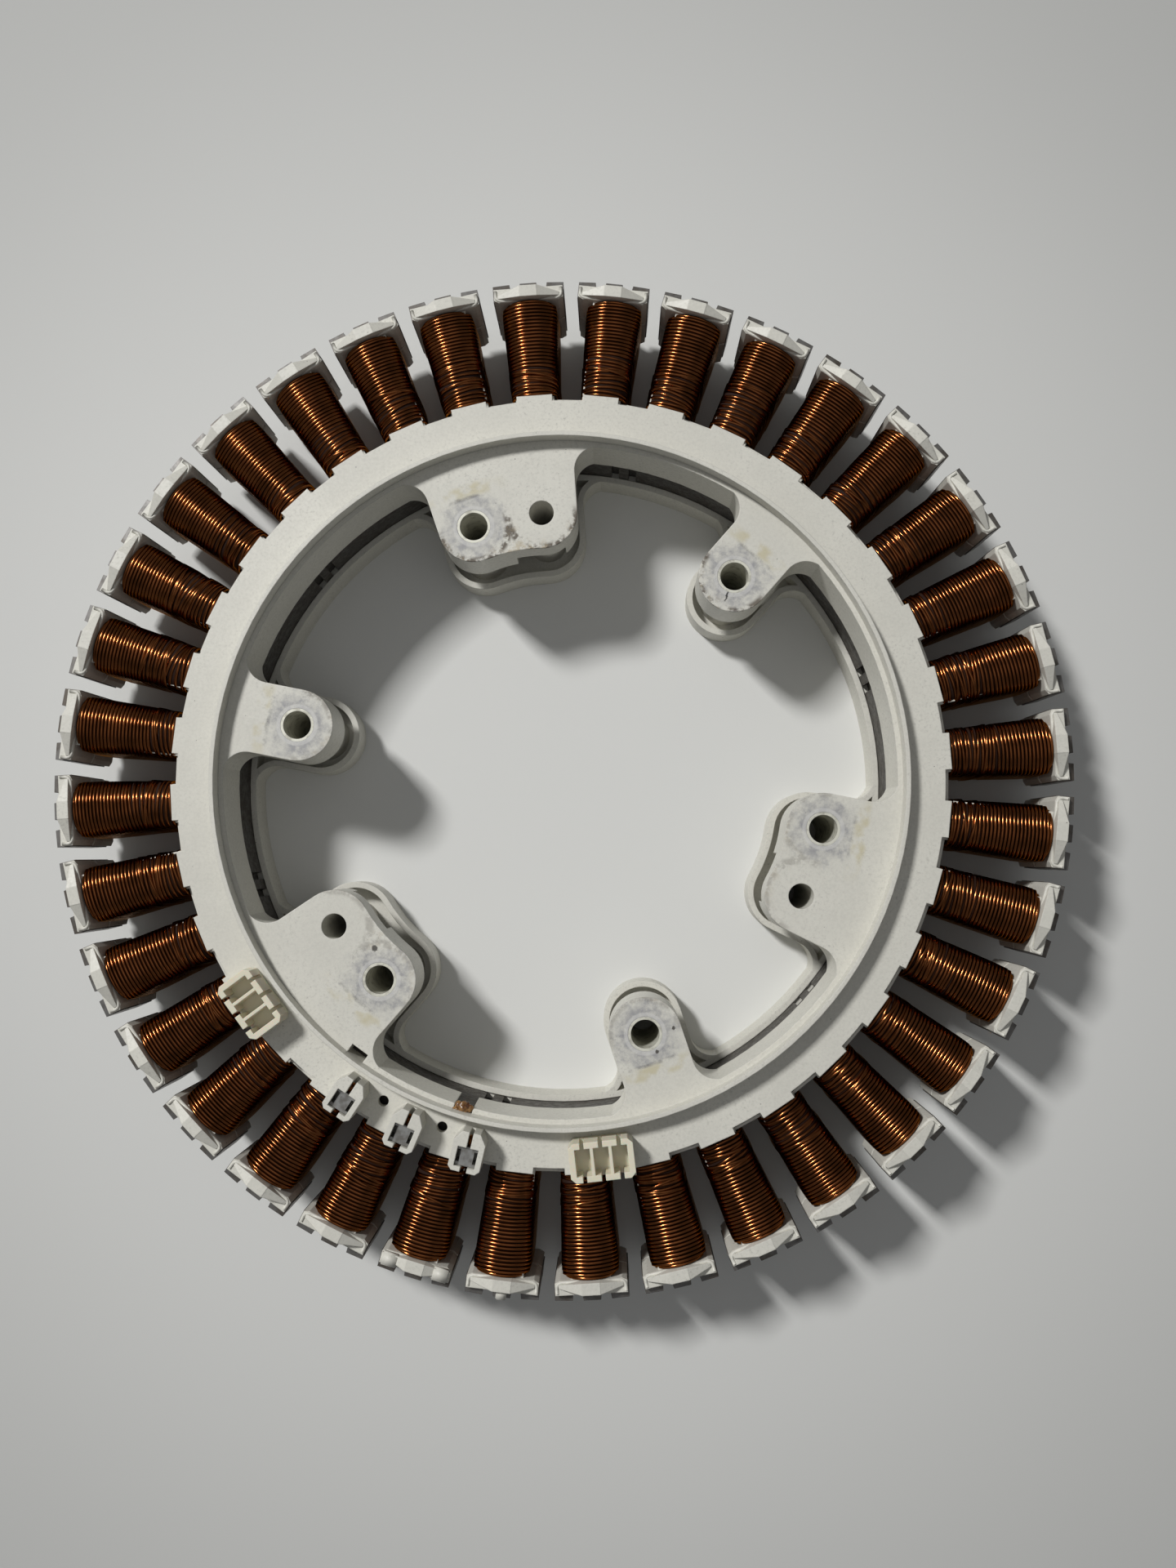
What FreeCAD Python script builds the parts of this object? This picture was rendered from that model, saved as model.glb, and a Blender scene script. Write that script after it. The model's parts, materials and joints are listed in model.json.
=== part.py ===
import FreeCAD, Part
import math
import os
import Sketcher
from FreeCAD import Placement, Rotation, Vector

# Stator of a direct-drive outer-rotor motor: a ring of stacked steel laminations with 36 teeth,
# held between two moulded insulators, with one coil of enamelled wire on each tooth.
#
# Frame: +Z runs up the stator's axis, Z = 0 is the face that the stator lies on (the ends of the
# lower lugs), and +X runs through the middle of the first tooth. Sizes are in millimetres.

# ---------------------------------------------------------------------------------------------
# Driving sizes: (name, value, what it is)
# ---------------------------------------------------------------------------------------------
SIZES = [
    # laminated core
    ("tooth_count", 36, "teeth, coils and slots"),
    ("stack_base", 8.0, "height of the underside of the steel stack"),
    ("stack_height", 20.0, "thickness of the stacked laminations"),
    ("yoke_inner_radius", 86.7, "bore of the steel ring"),
    ("yoke_outer_radius", 99.4, "bottom of the slots in the steel"),
    ("tooth_width", 8.2, "width of a steel tooth under its coil"),
    ("shoe_inner_radius", 127.8, "where the tooth widens into its shoe"),
    ("core_outer_radius", 132.5, "outer radius of the shoes"),
    ("shoe_width", 18.9, "width of a shoe across the tooth"),
    ("shoe_corner_drop", 0.4, "how far a shoe's corners fall back from its middle"),
    ("shoe_groove_place", 3.6, "middle of a shoe's groove, from the tooth's centre line"),
    ("shoe_groove_width", 2.3, "width of a groove in a shoe's face"),
    ("shoe_groove_depth", 1.5, "depth of a groove in a shoe's face"),
    ("shoe_groove_flare", 0.25, "slope of a groove's side"),
    ("station_count", 6, "places round the yoke with two notches in its bore"),
    ("station_angle", 15.0, "angle of the first such place"),
    ("bore_notch_width", 2.1, "width of a notch in the bore of the steel ring"),
    ("bore_notch_depth", 1.5, "depth of a notch in the bore of the steel ring"),
    ("bore_notch_spacing", 4.8, "distance between the two notches of a pair"),
    # what both insulators share
    ("fit_gap", 0.05, "room between a moulding and the steel that it slips over"),
    ("web_overlap", 0.1, "how far a gusset runs into the block and the plate"),
    ("cut_margin", 1.0, "how far a cut or a joined end runs past the face it meets"),
    ("insulator_wall", 0.9, "wall that lines a tooth's sides"),
    ("liner_wall", 0.75, "wall that lines the bottom of a slot"),
    ("liner_rise", 0.4, "how far a slot's lining stands above the steel"),
    ("saddle_thickness", 1.2, "wall between a tooth's end face and its coil"),
    ("skirt_depth", 9.5, "how far the linings reach down the stack"),
    ("ring_height", 5.0, "flat ring above the steel"),
    ("ring_thickness", 2.0, "wall of the flat ring"),
    ("ring_outer_radius", 98.3, "flat ring between its tabs"),
    ("ring_outer_wall", 1.5, "wall between the coils and the hollow under the flat ring"),
    ("tab_radius", 99.85, "end of a tab over a coil"),
    ("tab_width", 9.3, "width of a tab"),
    ("flange_width", 18.3, "width of a tip flange"),
    ("flange_outer_radius", 130.3, "outer edge of a tip flange's plate"),
    ("flange_wall", 1.1, "wall that keeps the coil on its tooth"),
    ("flange_thickness", 2.0, "plate on the end of a shoe"),
    ("flange_corner", 1.3, "cut corner of a tip flange"),
    ("block_width", 4.7, "raised block in the middle of a tip flange"),
    ("block_outer_radius", 129.6, "outer face of the block"),
    ("block_height", 5.0, "top of the block above the steel"),
    ("gusset_reach", 8.2, "end of a sloping gusset, from the tooth's centre line"),
    ("gusset_tip_width", 0.9, "width of a gusset at its low end"),
    ("gusset_tip_height", 0.35, "height of a gusset's low end over the plate"),
    # mounting lugs
    ("lug_repeat", 3, "times that one single and one double lug repeat round the bore"),
    ("bolt_circle_radius", 68.4, "circle of the bolt holes and the locating holes"),
    ("bolt_angle", 45.0, "angle of the first bolt hole, in a single lug"),
    ("locating_angle", 90.0, "angle of the first locating hole, in a double lug"),
    ("double_bolt_angle", 105.0, "angle of the bolt hole in the same double lug"),
    ("bolt_hole_radius", 3.6, "bore of a bush"),
    ("bush_wall", 0.7, "wall of a bush"),
    ("locating_hole_radius", 3.2, "hole for a locating pin"),
    ("boss_joint", 12.0, "height where upper and lower bosses meet"),
    ("bolt_boss_radius", 6.6, "boss round a bush, inside a lug"),
    ("locating_boss_radius", 5.2, "boss round a locating hole, inside a lug"),
    ("lug_root_radius", 6.0, "fillet between a lug and the ring"),
    ("lug_sink", 0.3, "how far a lug runs into the ring that carries it"),
    ("lug_front_radius", 40.0, "hollow front edge of a double lug"),
    ("lug_plate", 3.0, "plate of a lug"),
    ("arch_width", 13.0, "opening in the front skirt of an upper double lug"),
    ("arch_height", 6.0, "height of that opening"),
    ("arch_angle", 91.0, "angle of the middle of the first such opening"),
    # upper insulator
    ("upper_wall_radius", 86.0, "bore of the upper insulator"),
    ("upper_wall_depth", 7.5, "how far its inner wall covers the steel"),
    ("upper_ledge_height", 6.0, "ledge and lug faces above the steel"),
    ("ridge_inner_radius", 87.3, "inside of the standing ridge"),
    ("ridge_outer_radius", 88.4, "outside of the standing ridge"),
    ("ridge_height", 10.0, "top of the ridge above the steel"),
    ("upper_lug_radius", 9.2, "end of an upper lug about its hole"),
    ("upper_lug_wall", 2.0, "skirt of an upper lug"),
    ("clip_slot_width", 4.8, "slot in the bore for a sensor holder's clip"),
    ("clip_slot_angle", 230.4, "angle of the first clip slot"),
    ("clip_slot_step", 20.0, "angle from one clip slot to the next"),
    ("vent_radius", 1.35, "small round hole in the flat ring"),
    ("vent_circle_radius", 92.9, "circle of the small holes"),
    ("vent_angle", 238.0, "angle of the first small hole"),
    # lower insulator
    ("lower_wall_radius", 85.0, "bore of the lower insulator"),
    ("lower_wall_thickness", 1.6, "inner wall of the lower insulator"),
    ("lower_wall_rise", 1.0, "how far its inner wall covers the steel"),
    ("lower_lug_radius", 10.7, "end of a lower lug about its hole"),
    ("lower_lug_wall", 1.6, "skirt of a lower lug"),
    # coils
    ("coil_inner_radius", 100.35, "end of a coil at the yoke"),
    ("coil_flange_gap", 0.15, "room between a coil and the tip flange"),
    ("coil_bed_gap", 0.05, "room between a coil and its tooth's lining"),
    ("coil_yoke_width", 12.0, "width of a coil at the yoke"),
    ("coil_tip_width", 15.2, "width of a coil at the tip flange"),
    ("coil_end_depth", 2.8, "depth of wire over a tooth's end face"),
    ("coil_bevel", 3.2, "rounding of a coil's long edges"),
    ("coil_shoulder", 1.4, "rounding of a coil's outer corners"),
    # terminal pockets on the flat ring
    ("pocket_count", 3, "single terminal pockets"),
    ("pocket_angle", 233.0, "angle of the first pocket"),
    ("pocket_pitch", 10.0, "angle from one pocket to the next"),
    ("pocket_inner_radius", 90.5, "inner end of a pocket"),
    ("pocket_outer_radius", 100.3, "outer end of a pocket"),
    ("pocket_width", 8.0, "width of a pocket"),
    ("pocket_nose_width", 4.6, "width of a pocket's inner end"),
    ("pocket_nose_length", 2.4, "length of a pocket's tapered end"),
    ("pocket_height", 7.0, "height of pockets and connectors over the flat ring"),
    ("pocket_floor", 1.4, "floor of a pocket"),
    ("pocket_corner", 1.0, "cut corner at a pocket's outer end"),
    ("cavity_width", 5.2, "width of a pocket's cavity"),
    ("cavity_length", 4.8, "length of a pocket's cavity"),
    ("pocket_outer_wall", 1.2, "wall at a pocket's outer end"),
    ("wire_slot_width", 1.0, "slot that takes the coil's wire"),
    ("key_slot_width", 1.7, "slot in a pocket's outer wall"),
    # metal terminals
    ("terminal_clearance", 0.1, "room round a terminal in its pocket"),
    ("terminal_sink", 1.2, "top of a terminal below the pocket's rim"),
    ("terminal_sheet", 0.8, "sheet that a terminal is folded from"),
    # three-pole connector housings
    ("housing_width", 16.0, "width of a three-pole housing"),
    ("housing_length", 9.6, "length of a three-pole housing, along a radius"),
    ("housing_inner_radius", 90.5, "inner side of a three-pole housing"),
    ("housing_corner", 1.2, "cut corner of a three-pole housing"),
    ("sensor_housing_angle", 213.0, "angle of the first three-pole housing"),
    ("power_housing_angle", 273.0, "angle of the second three-pole housing"),
    ("pole_count", 3, "wells in a three-pole housing"),
    ("pole_pitch", 4.6, "distance from one well to the next"),
    ("well_width", 3.8, "width of a well"),
    ("well_length", 6.6, "length of a well"),
    ("housing_floor", 1.2, "floor of a three-pole housing"),
]

doc = FreeCAD.newDocument("stator")
sheet = doc.addObject("Spreadsheet::Sheet", "sizes")
for row, (name, value, meaning) in enumerate(SIZES, start=1):
    sheet.set(f"A{row}", name)
    sheet.set(f"B{row}", str(value))
    sheet.set(f"C{row}", meaning)
    sheet.setAlias(f"B{row}", name)
doc.recompute()

sub_parts = []
FULL_TURN = 360.0
TURNED_OVER = Rotation(Vector(1, 0, 0), 180)


def size(expression):
    """Value of an expression on the sheet, such as "sizes.ring_height + 2"."""
    return float(sheet.evalExpression(str(expression)))


# ---------------------------------------------------------------------------------------------
# Modelling helpers
# ---------------------------------------------------------------------------------------------
def new_body(label, several_solids=False):
    """An empty body, noted as one of the stator's sub-parts."""
    body = doc.addObject("PartDesign::Body", label)
    body.Label = label
    body.AllowCompound = several_solids
    sub_parts.append(body)
    return body


def datum(body, role):
    """One of the body's own origin planes or axes."""
    return next(feature for feature in body.Origin.OriginFeatures if feature.Role == role)


def new_sketch(body, name, height=None, turn=None, role="XY_Plane"):
    """A sketch on an origin plane, lifted by height and turned about the plane's normal."""
    sketch = body.newObject("Sketcher::SketchObject", name)
    sketch.AttachmentSupport = [(datum(body, role), "")]
    sketch.MapMode = "FlatFace"
    lift = size(height) if height else 0.0
    angle = size(turn) if turn else 0.0
    sketch.AttachmentOffset = Placement(Vector(0, 0, lift), Rotation(Vector(0, 0, 1), angle))
    if height:
        sketch.setExpression("AttachmentOffset.Base.z", height)
    if turn:
        sketch.setExpression("AttachmentOffset.Rotation.Angle", turn)
    return sketch


def bind(sketch, kind, *arguments, value):
    """A dimension of the sketch that follows an expression on the sheet."""
    index = sketch.addConstraint(Sketcher.Constraint(kind, *arguments, size(value)))
    sketch.setExpression(f"Constraints[{index}]", value)


def add_polygon(sketch, corners):
    """A closed polygon whose corners are pairs of expressions."""
    points = [Vector(size(x), size(y), 0) for x, y in corners]
    first = len(sketch.Geometry)
    count = len(points)
    for step in range(count):
        sketch.addGeometry(Part.LineSegment(points[step], points[(step + 1) % count]))
    for step in range(count):
        this, following = first + step, first + (step + 1) % count
        sketch.addConstraint(Sketcher.Constraint("Coincident", this, 2, following, 1))
    for step, (x, y) in enumerate(corners):
        bind(sketch, "DistanceX", -1, 1, first + step, 1, value=x)
        bind(sketch, "DistanceY", -1, 1, first + step, 1, value=y)


def add_circle(sketch, x, y, radius):
    """A circle whose centre and radius are expressions."""
    centre = Vector(size(x), size(y), 0)
    circle = sketch.addGeometry(Part.Circle(centre, Vector(0, 0, 1), size(radius)))
    bind(sketch, "DistanceX", -1, 1, circle, 3, value=x)
    bind(sketch, "DistanceY", -1, 1, circle, 3, value=y)
    bind(sketch, "Radius", circle, value=radius)


def add_arc(sketch, centre, radius, start, end):
    """A fixed arc, anticlockwise from one point to another."""
    angles = [math.atan2(point.y - centre.y, point.x - centre.x) for point in (start, end)]
    circle = Part.Circle(centre, Vector(0, 0, 1), radius)
    if angles[1] < angles[0]:
        angles[1] += 2 * math.pi
    return sketch.addGeometry(Part.ArcOfCircle(circle, angles[0], angles[1]))


def mirrored(corners):
    """Corners on one side of the tooth's centre line, then their mirror images in turn."""
    return corners + [(x, f"-({y})") for x, y in reversed(corners)]


def extrude(body, kind, sketch, length):
    """A Pad or a Pocket of the sketch. A Pad goes up and a Pocket goes up into the solid."""
    feature = body.newObject(f"PartDesign::{kind}", f"{sketch.Name}_{kind.lower()}")
    feature.Profile = sketch
    feature.setExpression("Length", length)
    feature.Reversed = kind == "Pocket"
    sketch.Visibility = False
    return feature


def pad(body, sketch, length):
    return extrude(body, "Pad", sketch, length)


def pocket(body, sketch, length):
    """Cuts upwards from the sketch, and fails if that takes nothing away."""
    doc.recompute()
    before = body.Shape.Volume
    feature = extrude(body, "Pocket", sketch, length)
    doc.recompute()
    if not feature.Shape.Volume < before:
        raise RuntimeError(f"{feature.Label} cuts nothing")
    return feature


def revolve(body, sketch):
    feature = body.newObject("PartDesign::Revolution", f"{sketch.Name}_turned")
    feature.Profile = sketch
    feature.ReferenceAxis = (sketch, ["V_Axis"])
    feature.Angle = FULL_TURN
    return feature


def polar_pattern(body, name, count, originals=None):
    """Repeats features about the axis, or the whole body where no features are named."""
    pattern = body.newObject("PartDesign::PolarPattern", name)
    if originals:
        pattern.Originals = originals
    else:
        pattern.TransformMode = "Whole shape"
    pattern.Axis = (datum(body, "Z_Axis"), [""])
    pattern.Angle = FULL_TURN
    pattern.setExpression("Occurrences", count)
    body.Tip = pattern
    return pattern


def place(item, radius="0", angle="0", height="0"):
    """Puts a sub-part at a radius, an angle and a height of the stator."""
    turn = Rotation(Vector(0, 0, 1), size(angle))
    item.Placement = Placement(turn.multVec(Vector(size(radius), 0, 0)), turn)
    item.setExpression("Placement.Base.x", f"({radius}) * cos(({angle}) * 1deg)")
    item.setExpression("Placement.Base.y", f"({radius}) * sin(({angle}) * 1deg)")
    item.setExpression("Placement.Base.z", height)
    item.setExpression("Placement.Rotation.Angle", angle)


# ---------------------------------------------------------------------------------------------
# Laminated core
# ---------------------------------------------------------------------------------------------
def make_core():
    """Yoke ring with T-shaped teeth and notches in its bore."""
    body = new_body("core_stack")
    yoke = new_sketch(body, "yoke_plan")
    add_circle(yoke, "0", "0", "sizes.yoke_outer_radius")
    add_circle(yoke, "0", "0", "sizes.yoke_inner_radius")
    pad(body, yoke, "sizes.stack_height")

    half_tooth = "sizes.tooth_width / 2"
    half_shoe = "sizes.shoe_width / 2"
    half_groove = "sizes.shoe_groove_width / 2"
    face = "sizes.core_outer_radius"
    floor = "sizes.core_outer_radius - sizes.shoe_groove_depth"
    near = f"sizes.shoe_groove_place - {half_groove}"
    far = f"sizes.shoe_groove_place + {half_groove}"
    tooth = new_sketch(body, "tooth_plan")
    add_polygon(tooth, mirrored([
        ("sizes.yoke_outer_radius - sizes.cut_margin", half_tooth),
        ("sizes.shoe_inner_radius", half_tooth),
        ("sizes.shoe_inner_radius", half_shoe),
        (f"{face} - sizes.shoe_corner_drop", half_shoe),
        (f"{face} - sizes.shoe_corner_drop / 3", f"{far} + sizes.shoe_groove_flare"),
        (floor, far),
        (floor, near),
        (face, f"{near} - sizes.shoe_groove_flare"),
    ]))
    tooth_pad = pad(body, tooth, "sizes.stack_height")
    polar_pattern(body, "teeth", "sizes.tooth_count", [tooth_pad])

    station = new_sketch(body, "station_plan", turn="sizes.station_angle")
    inner = "sizes.yoke_inner_radius - sizes.cut_margin"
    outer = "sizes.yoke_inner_radius + sizes.bore_notch_depth"
    for side in ("-1", "1"):
        middle = f"{side} * sizes.bore_notch_spacing / 2"
        low = f"{middle} - sizes.bore_notch_width / 2"
        high = f"{middle} + sizes.bore_notch_width / 2"
        add_polygon(station, [(inner, low), (outer, low), (outer, high), (inner, high)])
    station_cut = pocket(body, station, "sizes.stack_height")
    polar_pattern(body, "stations", "sizes.station_count", [station_cut])
    place(body, height="sizes.stack_base")


# ---------------------------------------------------------------------------------------------
# Insulators. Each is modelled with its own Z = 0 on the steel's end face and +Z away from the
# steel. The lower one is then turned over, so its angles are mirrored by hand = -1.
# ---------------------------------------------------------------------------------------------
def make_tooth_linings():
    """Lining of one tooth, its slot, its tab and its tip flange, repeated all round the ring.

    Both insulators have the same ones, so they are modelled once and fused into each."""
    body = new_body("tooth_linings", several_solids=True)
    sub_parts.remove(body)
    gap = "sizes.fit_gap"
    half_steel = f"(sizes.tooth_width / 2 + {gap})"
    half_saddle = f"({half_steel} + sizes.insulator_wall)"
    start = f"(sizes.yoke_outer_radius + {gap})"
    wall_face = f"(sizes.shoe_inner_radius - {gap})"
    coil_face = f"({wall_face} - sizes.flange_wall)"
    half_flange = "sizes.flange_width / 2"
    corner = "sizes.flange_corner"

    sides = new_sketch(body, "tooth_side_plan", "-sizes.skirt_depth")
    for side in ("1", "-1"):
        low, high = f"{side} * {half_steel}", f"{side} * {half_saddle}"
        add_polygon(sides, [(start, low), (wall_face, low), (wall_face, high), (start, high)])
    pad(body, sides, "sizes.skirt_depth")

    saddle = new_sketch(body, "saddle_plan")
    root = "sizes.ring_outer_radius - sizes.ring_outer_wall / 2"
    add_polygon(saddle, mirrored([(root, half_saddle), (wall_face, half_saddle)]))
    pad(body, saddle, "sizes.saddle_thickness")

    # The slot's lining is a flat plate that ends inside the side walls of two teeth.
    half_pitch = "180 / sizes.tooth_count"
    liner = new_sketch(body, "liner_plan", "-sizes.skirt_depth", turn=half_pitch)
    wall_middle = f"({half_saddle} - sizes.insulator_wall / 2)"
    half_liner = f"{start} * sin({half_pitch} * 1deg) - {wall_middle} * cos({half_pitch} * 1deg)"
    add_polygon(liner, mirrored([(start, half_liner), (f"{start} + sizes.liner_wall", half_liner)]))
    pad(body, liner, "sizes.skirt_depth + sizes.liner_rise")

    tab = new_sketch(body, "tab_plan", "sizes.ring_height - sizes.ring_thickness")
    add_polygon(tab, mirrored([(root, "sizes.tab_width / 2"), ("sizes.tab_radius", "sizes.tab_width / 2")]))
    pad(body, tab, "sizes.ring_thickness")

    wall = new_sketch(body, "flange_wall_plan", "-sizes.skirt_depth")
    for side in ("1", "-1"):
        low, high = f"{side} * {half_steel}", f"{side} * {half_flange}"
        cut = f"{side} * ({half_flange} - {corner})"
        add_polygon(wall, [(coil_face, low), (wall_face, low), (wall_face, high),
                           (f"{coil_face} + {corner} / 2", high), (coil_face, cut)])
    pad(body, wall, "sizes.skirt_depth")

    plate = new_sketch(body, "flange_plan")
    add_polygon(plate, mirrored([
        (coil_face, f"{half_flange} - {corner}"),
        (f"{coil_face} + {corner} / 2", half_flange),
        ("sizes.flange_outer_radius", half_flange),
    ]))
    pad(body, plate, "sizes.flange_thickness")

    block = new_sketch(body, "block_plan", "sizes.flange_thickness")
    half_block = "sizes.block_width / 2"
    add_polygon(block, mirrored([(coil_face, half_block), ("sizes.block_outer_radius", half_block)]))
    pad(body, block, "sizes.block_height - sizes.flange_thickness")

    for side in (1, -1):
        make_gusset(body, side, coil_face)
    polar_pattern(body, "lining_pattern", "sizes.tooth_count")
    return body


def make_gusset(body, side, coil_face):
    """Web that slopes from the top of the block down to a corner of the tip flange."""
    wedge = body.newObject("PartDesign::AdditiveWedge", "gusset" if side > 0 else "gusset_mirrored")
    near, far = "sizes.block_width / 2 - sizes.web_overlap", "sizes.gusset_reach"
    low = "sizes.flange_thickness - sizes.web_overlap"
    start, end = coil_face, "sizes.block_outer_radius"
    tip_start = f"{coil_face} + sizes.gusset_tip_width"
    tip_end = f"{coil_face} + 2 * sizes.gusset_tip_width"
    tip_top = "sizes.flange_thickness + sizes.gusset_tip_height"
    tall = (start, end, "sizes.block_height")
    small = (tip_start, tip_end, tip_top)
    first, last = (tall, small) if side > 0 else (small, tall)
    bounds = (near, far) if side > 0 else (f"-({far})", f"-({near})")
    values = {
        "Ymin": bounds[0], "Ymax": bounds[1],
        "Xmin": first[0], "Xmax": first[1], "Zmin": low, "Zmax": first[2],
        "X2min": last[0], "X2max": last[1], "Z2min": low, "Z2max": last[2],
    }
    for name, expression in values.items():
        setattr(wedge, name, size(expression))
        wedge.setExpression(name, expression)


def make_ring(body, name, section):
    """Turns the ring's section about the axis."""
    sketch = new_sketch(body, name, role="XZ_Plane")
    add_polygon(sketch, section)
    revolve(body, sketch)


def polar(radius, degrees):
    """Point at a radius and an angle."""
    return Vector(radius * math.cos(math.radians(degrees)), radius * math.sin(math.radians(degrees)), 0)


def lug_side(degrees, side, end_radius, root_radius, ring_radius):
    """One side of a lug, from its end to the ring, with the fillet at its root.

    The side runs along the radius through the hole, end_radius away from it. Returned are the two
    ends of the straight side, the fillet's centre, and where the fillet meets the ring."""
    along = polar(1.0, degrees)
    across = polar(1.0, degrees + 90.0) * side
    hole = along * size("sizes.bolt_circle_radius")
    reach = ring_radius - root_radius
    offset = end_radius + root_radius
    centre = along * math.sqrt(reach ** 2 - offset ** 2) + across * offset
    inner = hole + across * end_radius
    outer = centre - across * root_radius
    return inner, outer, centre, centre * (ring_radius / reach)


def add_lug(sketch, angles, end_radius, ring_radius, inset):
    """Outline of a lug about one hole or two, drawn inset from its true edge.

    Its ends are round, its sides straight with filleted roots, and a double lug's front is hollow."""
    end = end_radius - inset
    root = size("sizes.lug_root_radius") + inset
    ring = ring_radius + inset + size("sizes.lug_sink")
    low = lug_side(angles[0], -1, end, root, ring)
    high = lug_side(angles[-1], 1, end, root, ring)
    holes = [polar(size("sizes.bolt_circle_radius"), angle) for angle in angles]
    edges = [sketch.addGeometry(Part.LineSegment(low[1], low[0]))]
    if len(angles) == 1:
        edges.append(add_arc(sketch, holes[0], end, high[0], low[0]))
    else:
        front = size("sizes.lug_front_radius") + inset
        middle = (holes[0] + holes[1]) * 0.5
        half = (holes[1] - holes[0]).Length / 2
        inward = -middle / middle.Length
        hollow = middle + inward * math.sqrt((end + front) ** 2 - half ** 2)
        touches = [hole + (hollow - hole) * (end / (end + front)) for hole in holes]
        edges.append(add_arc(sketch, holes[0], end, touches[0], low[0]))
        edges.append(add_arc(sketch, hollow, front, touches[0], touches[1]))
        edges.append(add_arc(sketch, holes[1], end, high[0], touches[1]))
    edges.append(sketch.addGeometry(Part.LineSegment(high[0], high[1])))
    edges.append(add_arc(sketch, high[2], root, high[1], high[3]))
    edges.append(add_arc(sketch, Vector(0, 0, 0), ring, low[3], high[3]))
    edges.append(add_arc(sketch, low[2], root, low[3], low[1]))
    for edge in edges:
        sketch.addConstraint(Sketcher.Constraint("Block", edge))


def make_lugs(body, hand, end_radius, wall, ring_radius, skirt_base, face, boss_base, arched=False):
    """Single and double lugs: plate, skirt, bosses and holes, repeated round the bore.

    They come before the ring, whose wall then closes their hollows on the outside."""
    single = [hand * size("sizes.bolt_angle")]
    double = sorted([hand * size("sizes.locating_angle"), hand * size("sizes.double_bolt_angle")])
    solid = new_sketch(body, "lug_plan", skirt_base)
    hollow = new_sketch(body, "lug_hollow_plan", skirt_base)
    for angles in (single, double):
        add_lug(solid, angles, size(end_radius), size(ring_radius), 0.0)
        add_lug(hollow, angles, size(end_radius), size(ring_radius), size(wall))
    lug_pad = pad(body, solid, f"{face} - ({skirt_base})")
    lug_cut = pocket(body, hollow, f"{face} - sizes.lug_plate - ({skirt_base})")
    originals = [lug_pad, lug_cut]
    if arched:
        originals.append(cut_arch(body, skirt_base, end_radius))

    bosses = new_sketch(body, "boss_plan", boss_base)
    holes = new_sketch(body, "hole_plan", boss_base)
    bush = "sizes.bolt_hole_radius + sizes.bush_wall"
    places = (
        ("sizes.bolt_angle", "sizes.bolt_boss_radius", bush),
        ("sizes.double_bolt_angle", "sizes.bolt_boss_radius", bush),
        ("sizes.locating_angle", "sizes.locating_boss_radius", "sizes.locating_hole_radius"),
    )
    for angle, boss_radius, hole_radius in places:
        x = f"sizes.bolt_circle_radius * cos({angle} * 1deg)"
        y = f"{hand} * sizes.bolt_circle_radius * sin({angle} * 1deg)"
        add_circle(bosses, x, y, boss_radius)
        add_circle(holes, x, y, hole_radius)
    boss_pad = pad(body, bosses, f"{face} - sizes.lug_plate / 2 - ({boss_base})")
    hole_cut = pocket(body, holes, f"{face} - ({boss_base})")
    polar_pattern(body, "lugs", "sizes.lug_repeat", originals + [boss_pad, hole_cut])


def cut_arch(body, skirt_base, end_radius):
    """Opening under the front edge of a double lug, before the locating hole's boss."""
    arch = new_sketch(body, "arch_plan", skirt_base, "sizes.arch_angle")
    front = f"sizes.bolt_circle_radius - {end_radius} - sizes.cut_margin"
    back = "sizes.bolt_circle_radius - sizes.locating_hole_radius"
    half = "sizes.arch_width / 2"
    add_polygon(arch, mirrored([(front, half), (back, half)]))
    return pocket(body, arch, "sizes.arch_height")


def fuse_insulator(label, body, linings):
    """Joins an insulator's ring to the tooth linings, as the moulding that they are."""
    sub_parts.remove(body)
    insulator = doc.addObject("Part::Fuse", label)
    insulator.Label = label
    insulator.Base = body
    insulator.Tool = linings
    insulator.Refine = True
    sub_parts.append(insulator)
    return insulator


def make_upper_insulator(linings):
    """Upper insulator, with the ledge, the ridge, the lugs and the terminal pockets."""
    body = new_body("upper_ring", several_solids=True)
    joint = "sizes.boss_joint - sizes.stack_base - sizes.stack_height"
    make_lugs(body, 1, "sizes.upper_lug_radius", "sizes.upper_lug_wall", "sizes.upper_wall_radius",
              "-sizes.upper_wall_depth", "sizes.upper_ledge_height", joint, arched=True)
    ring_low = "sizes.ring_height - sizes.ring_thickness"
    hollow_end = "sizes.ring_outer_radius - sizes.ring_outer_wall"
    cover = "sizes.yoke_inner_radius - sizes.fit_gap"
    make_ring(body, "upper_ring_section", [
        ("sizes.upper_wall_radius", "-sizes.upper_wall_depth"),
        (cover, "-sizes.upper_wall_depth"),
        (cover, "0"),
        ("sizes.ridge_outer_radius", "0"),
        ("sizes.ridge_outer_radius", ring_low),
        (hollow_end, ring_low),
        (hollow_end, "0"),
        ("sizes.ring_outer_radius", "0"),
        ("sizes.ring_outer_radius", "sizes.ring_height"),
        ("sizes.ridge_outer_radius", "sizes.ring_height"),
        ("sizes.ridge_outer_radius", "sizes.ridge_height"),
        ("sizes.ridge_inner_radius", "sizes.ridge_height"),
        ("sizes.ridge_inner_radius", "sizes.upper_ledge_height"),
        ("sizes.upper_wall_radius", "sizes.upper_ledge_height"),
    ])
    make_ring_openings(body)
    for number in range(int(size("sizes.pocket_count"))):
        make_terminal_pocket(body, number)
    insulator = fuse_insulator("upper_insulator", body, linings)
    place(insulator, height="sizes.stack_base + sizes.stack_height")


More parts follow.
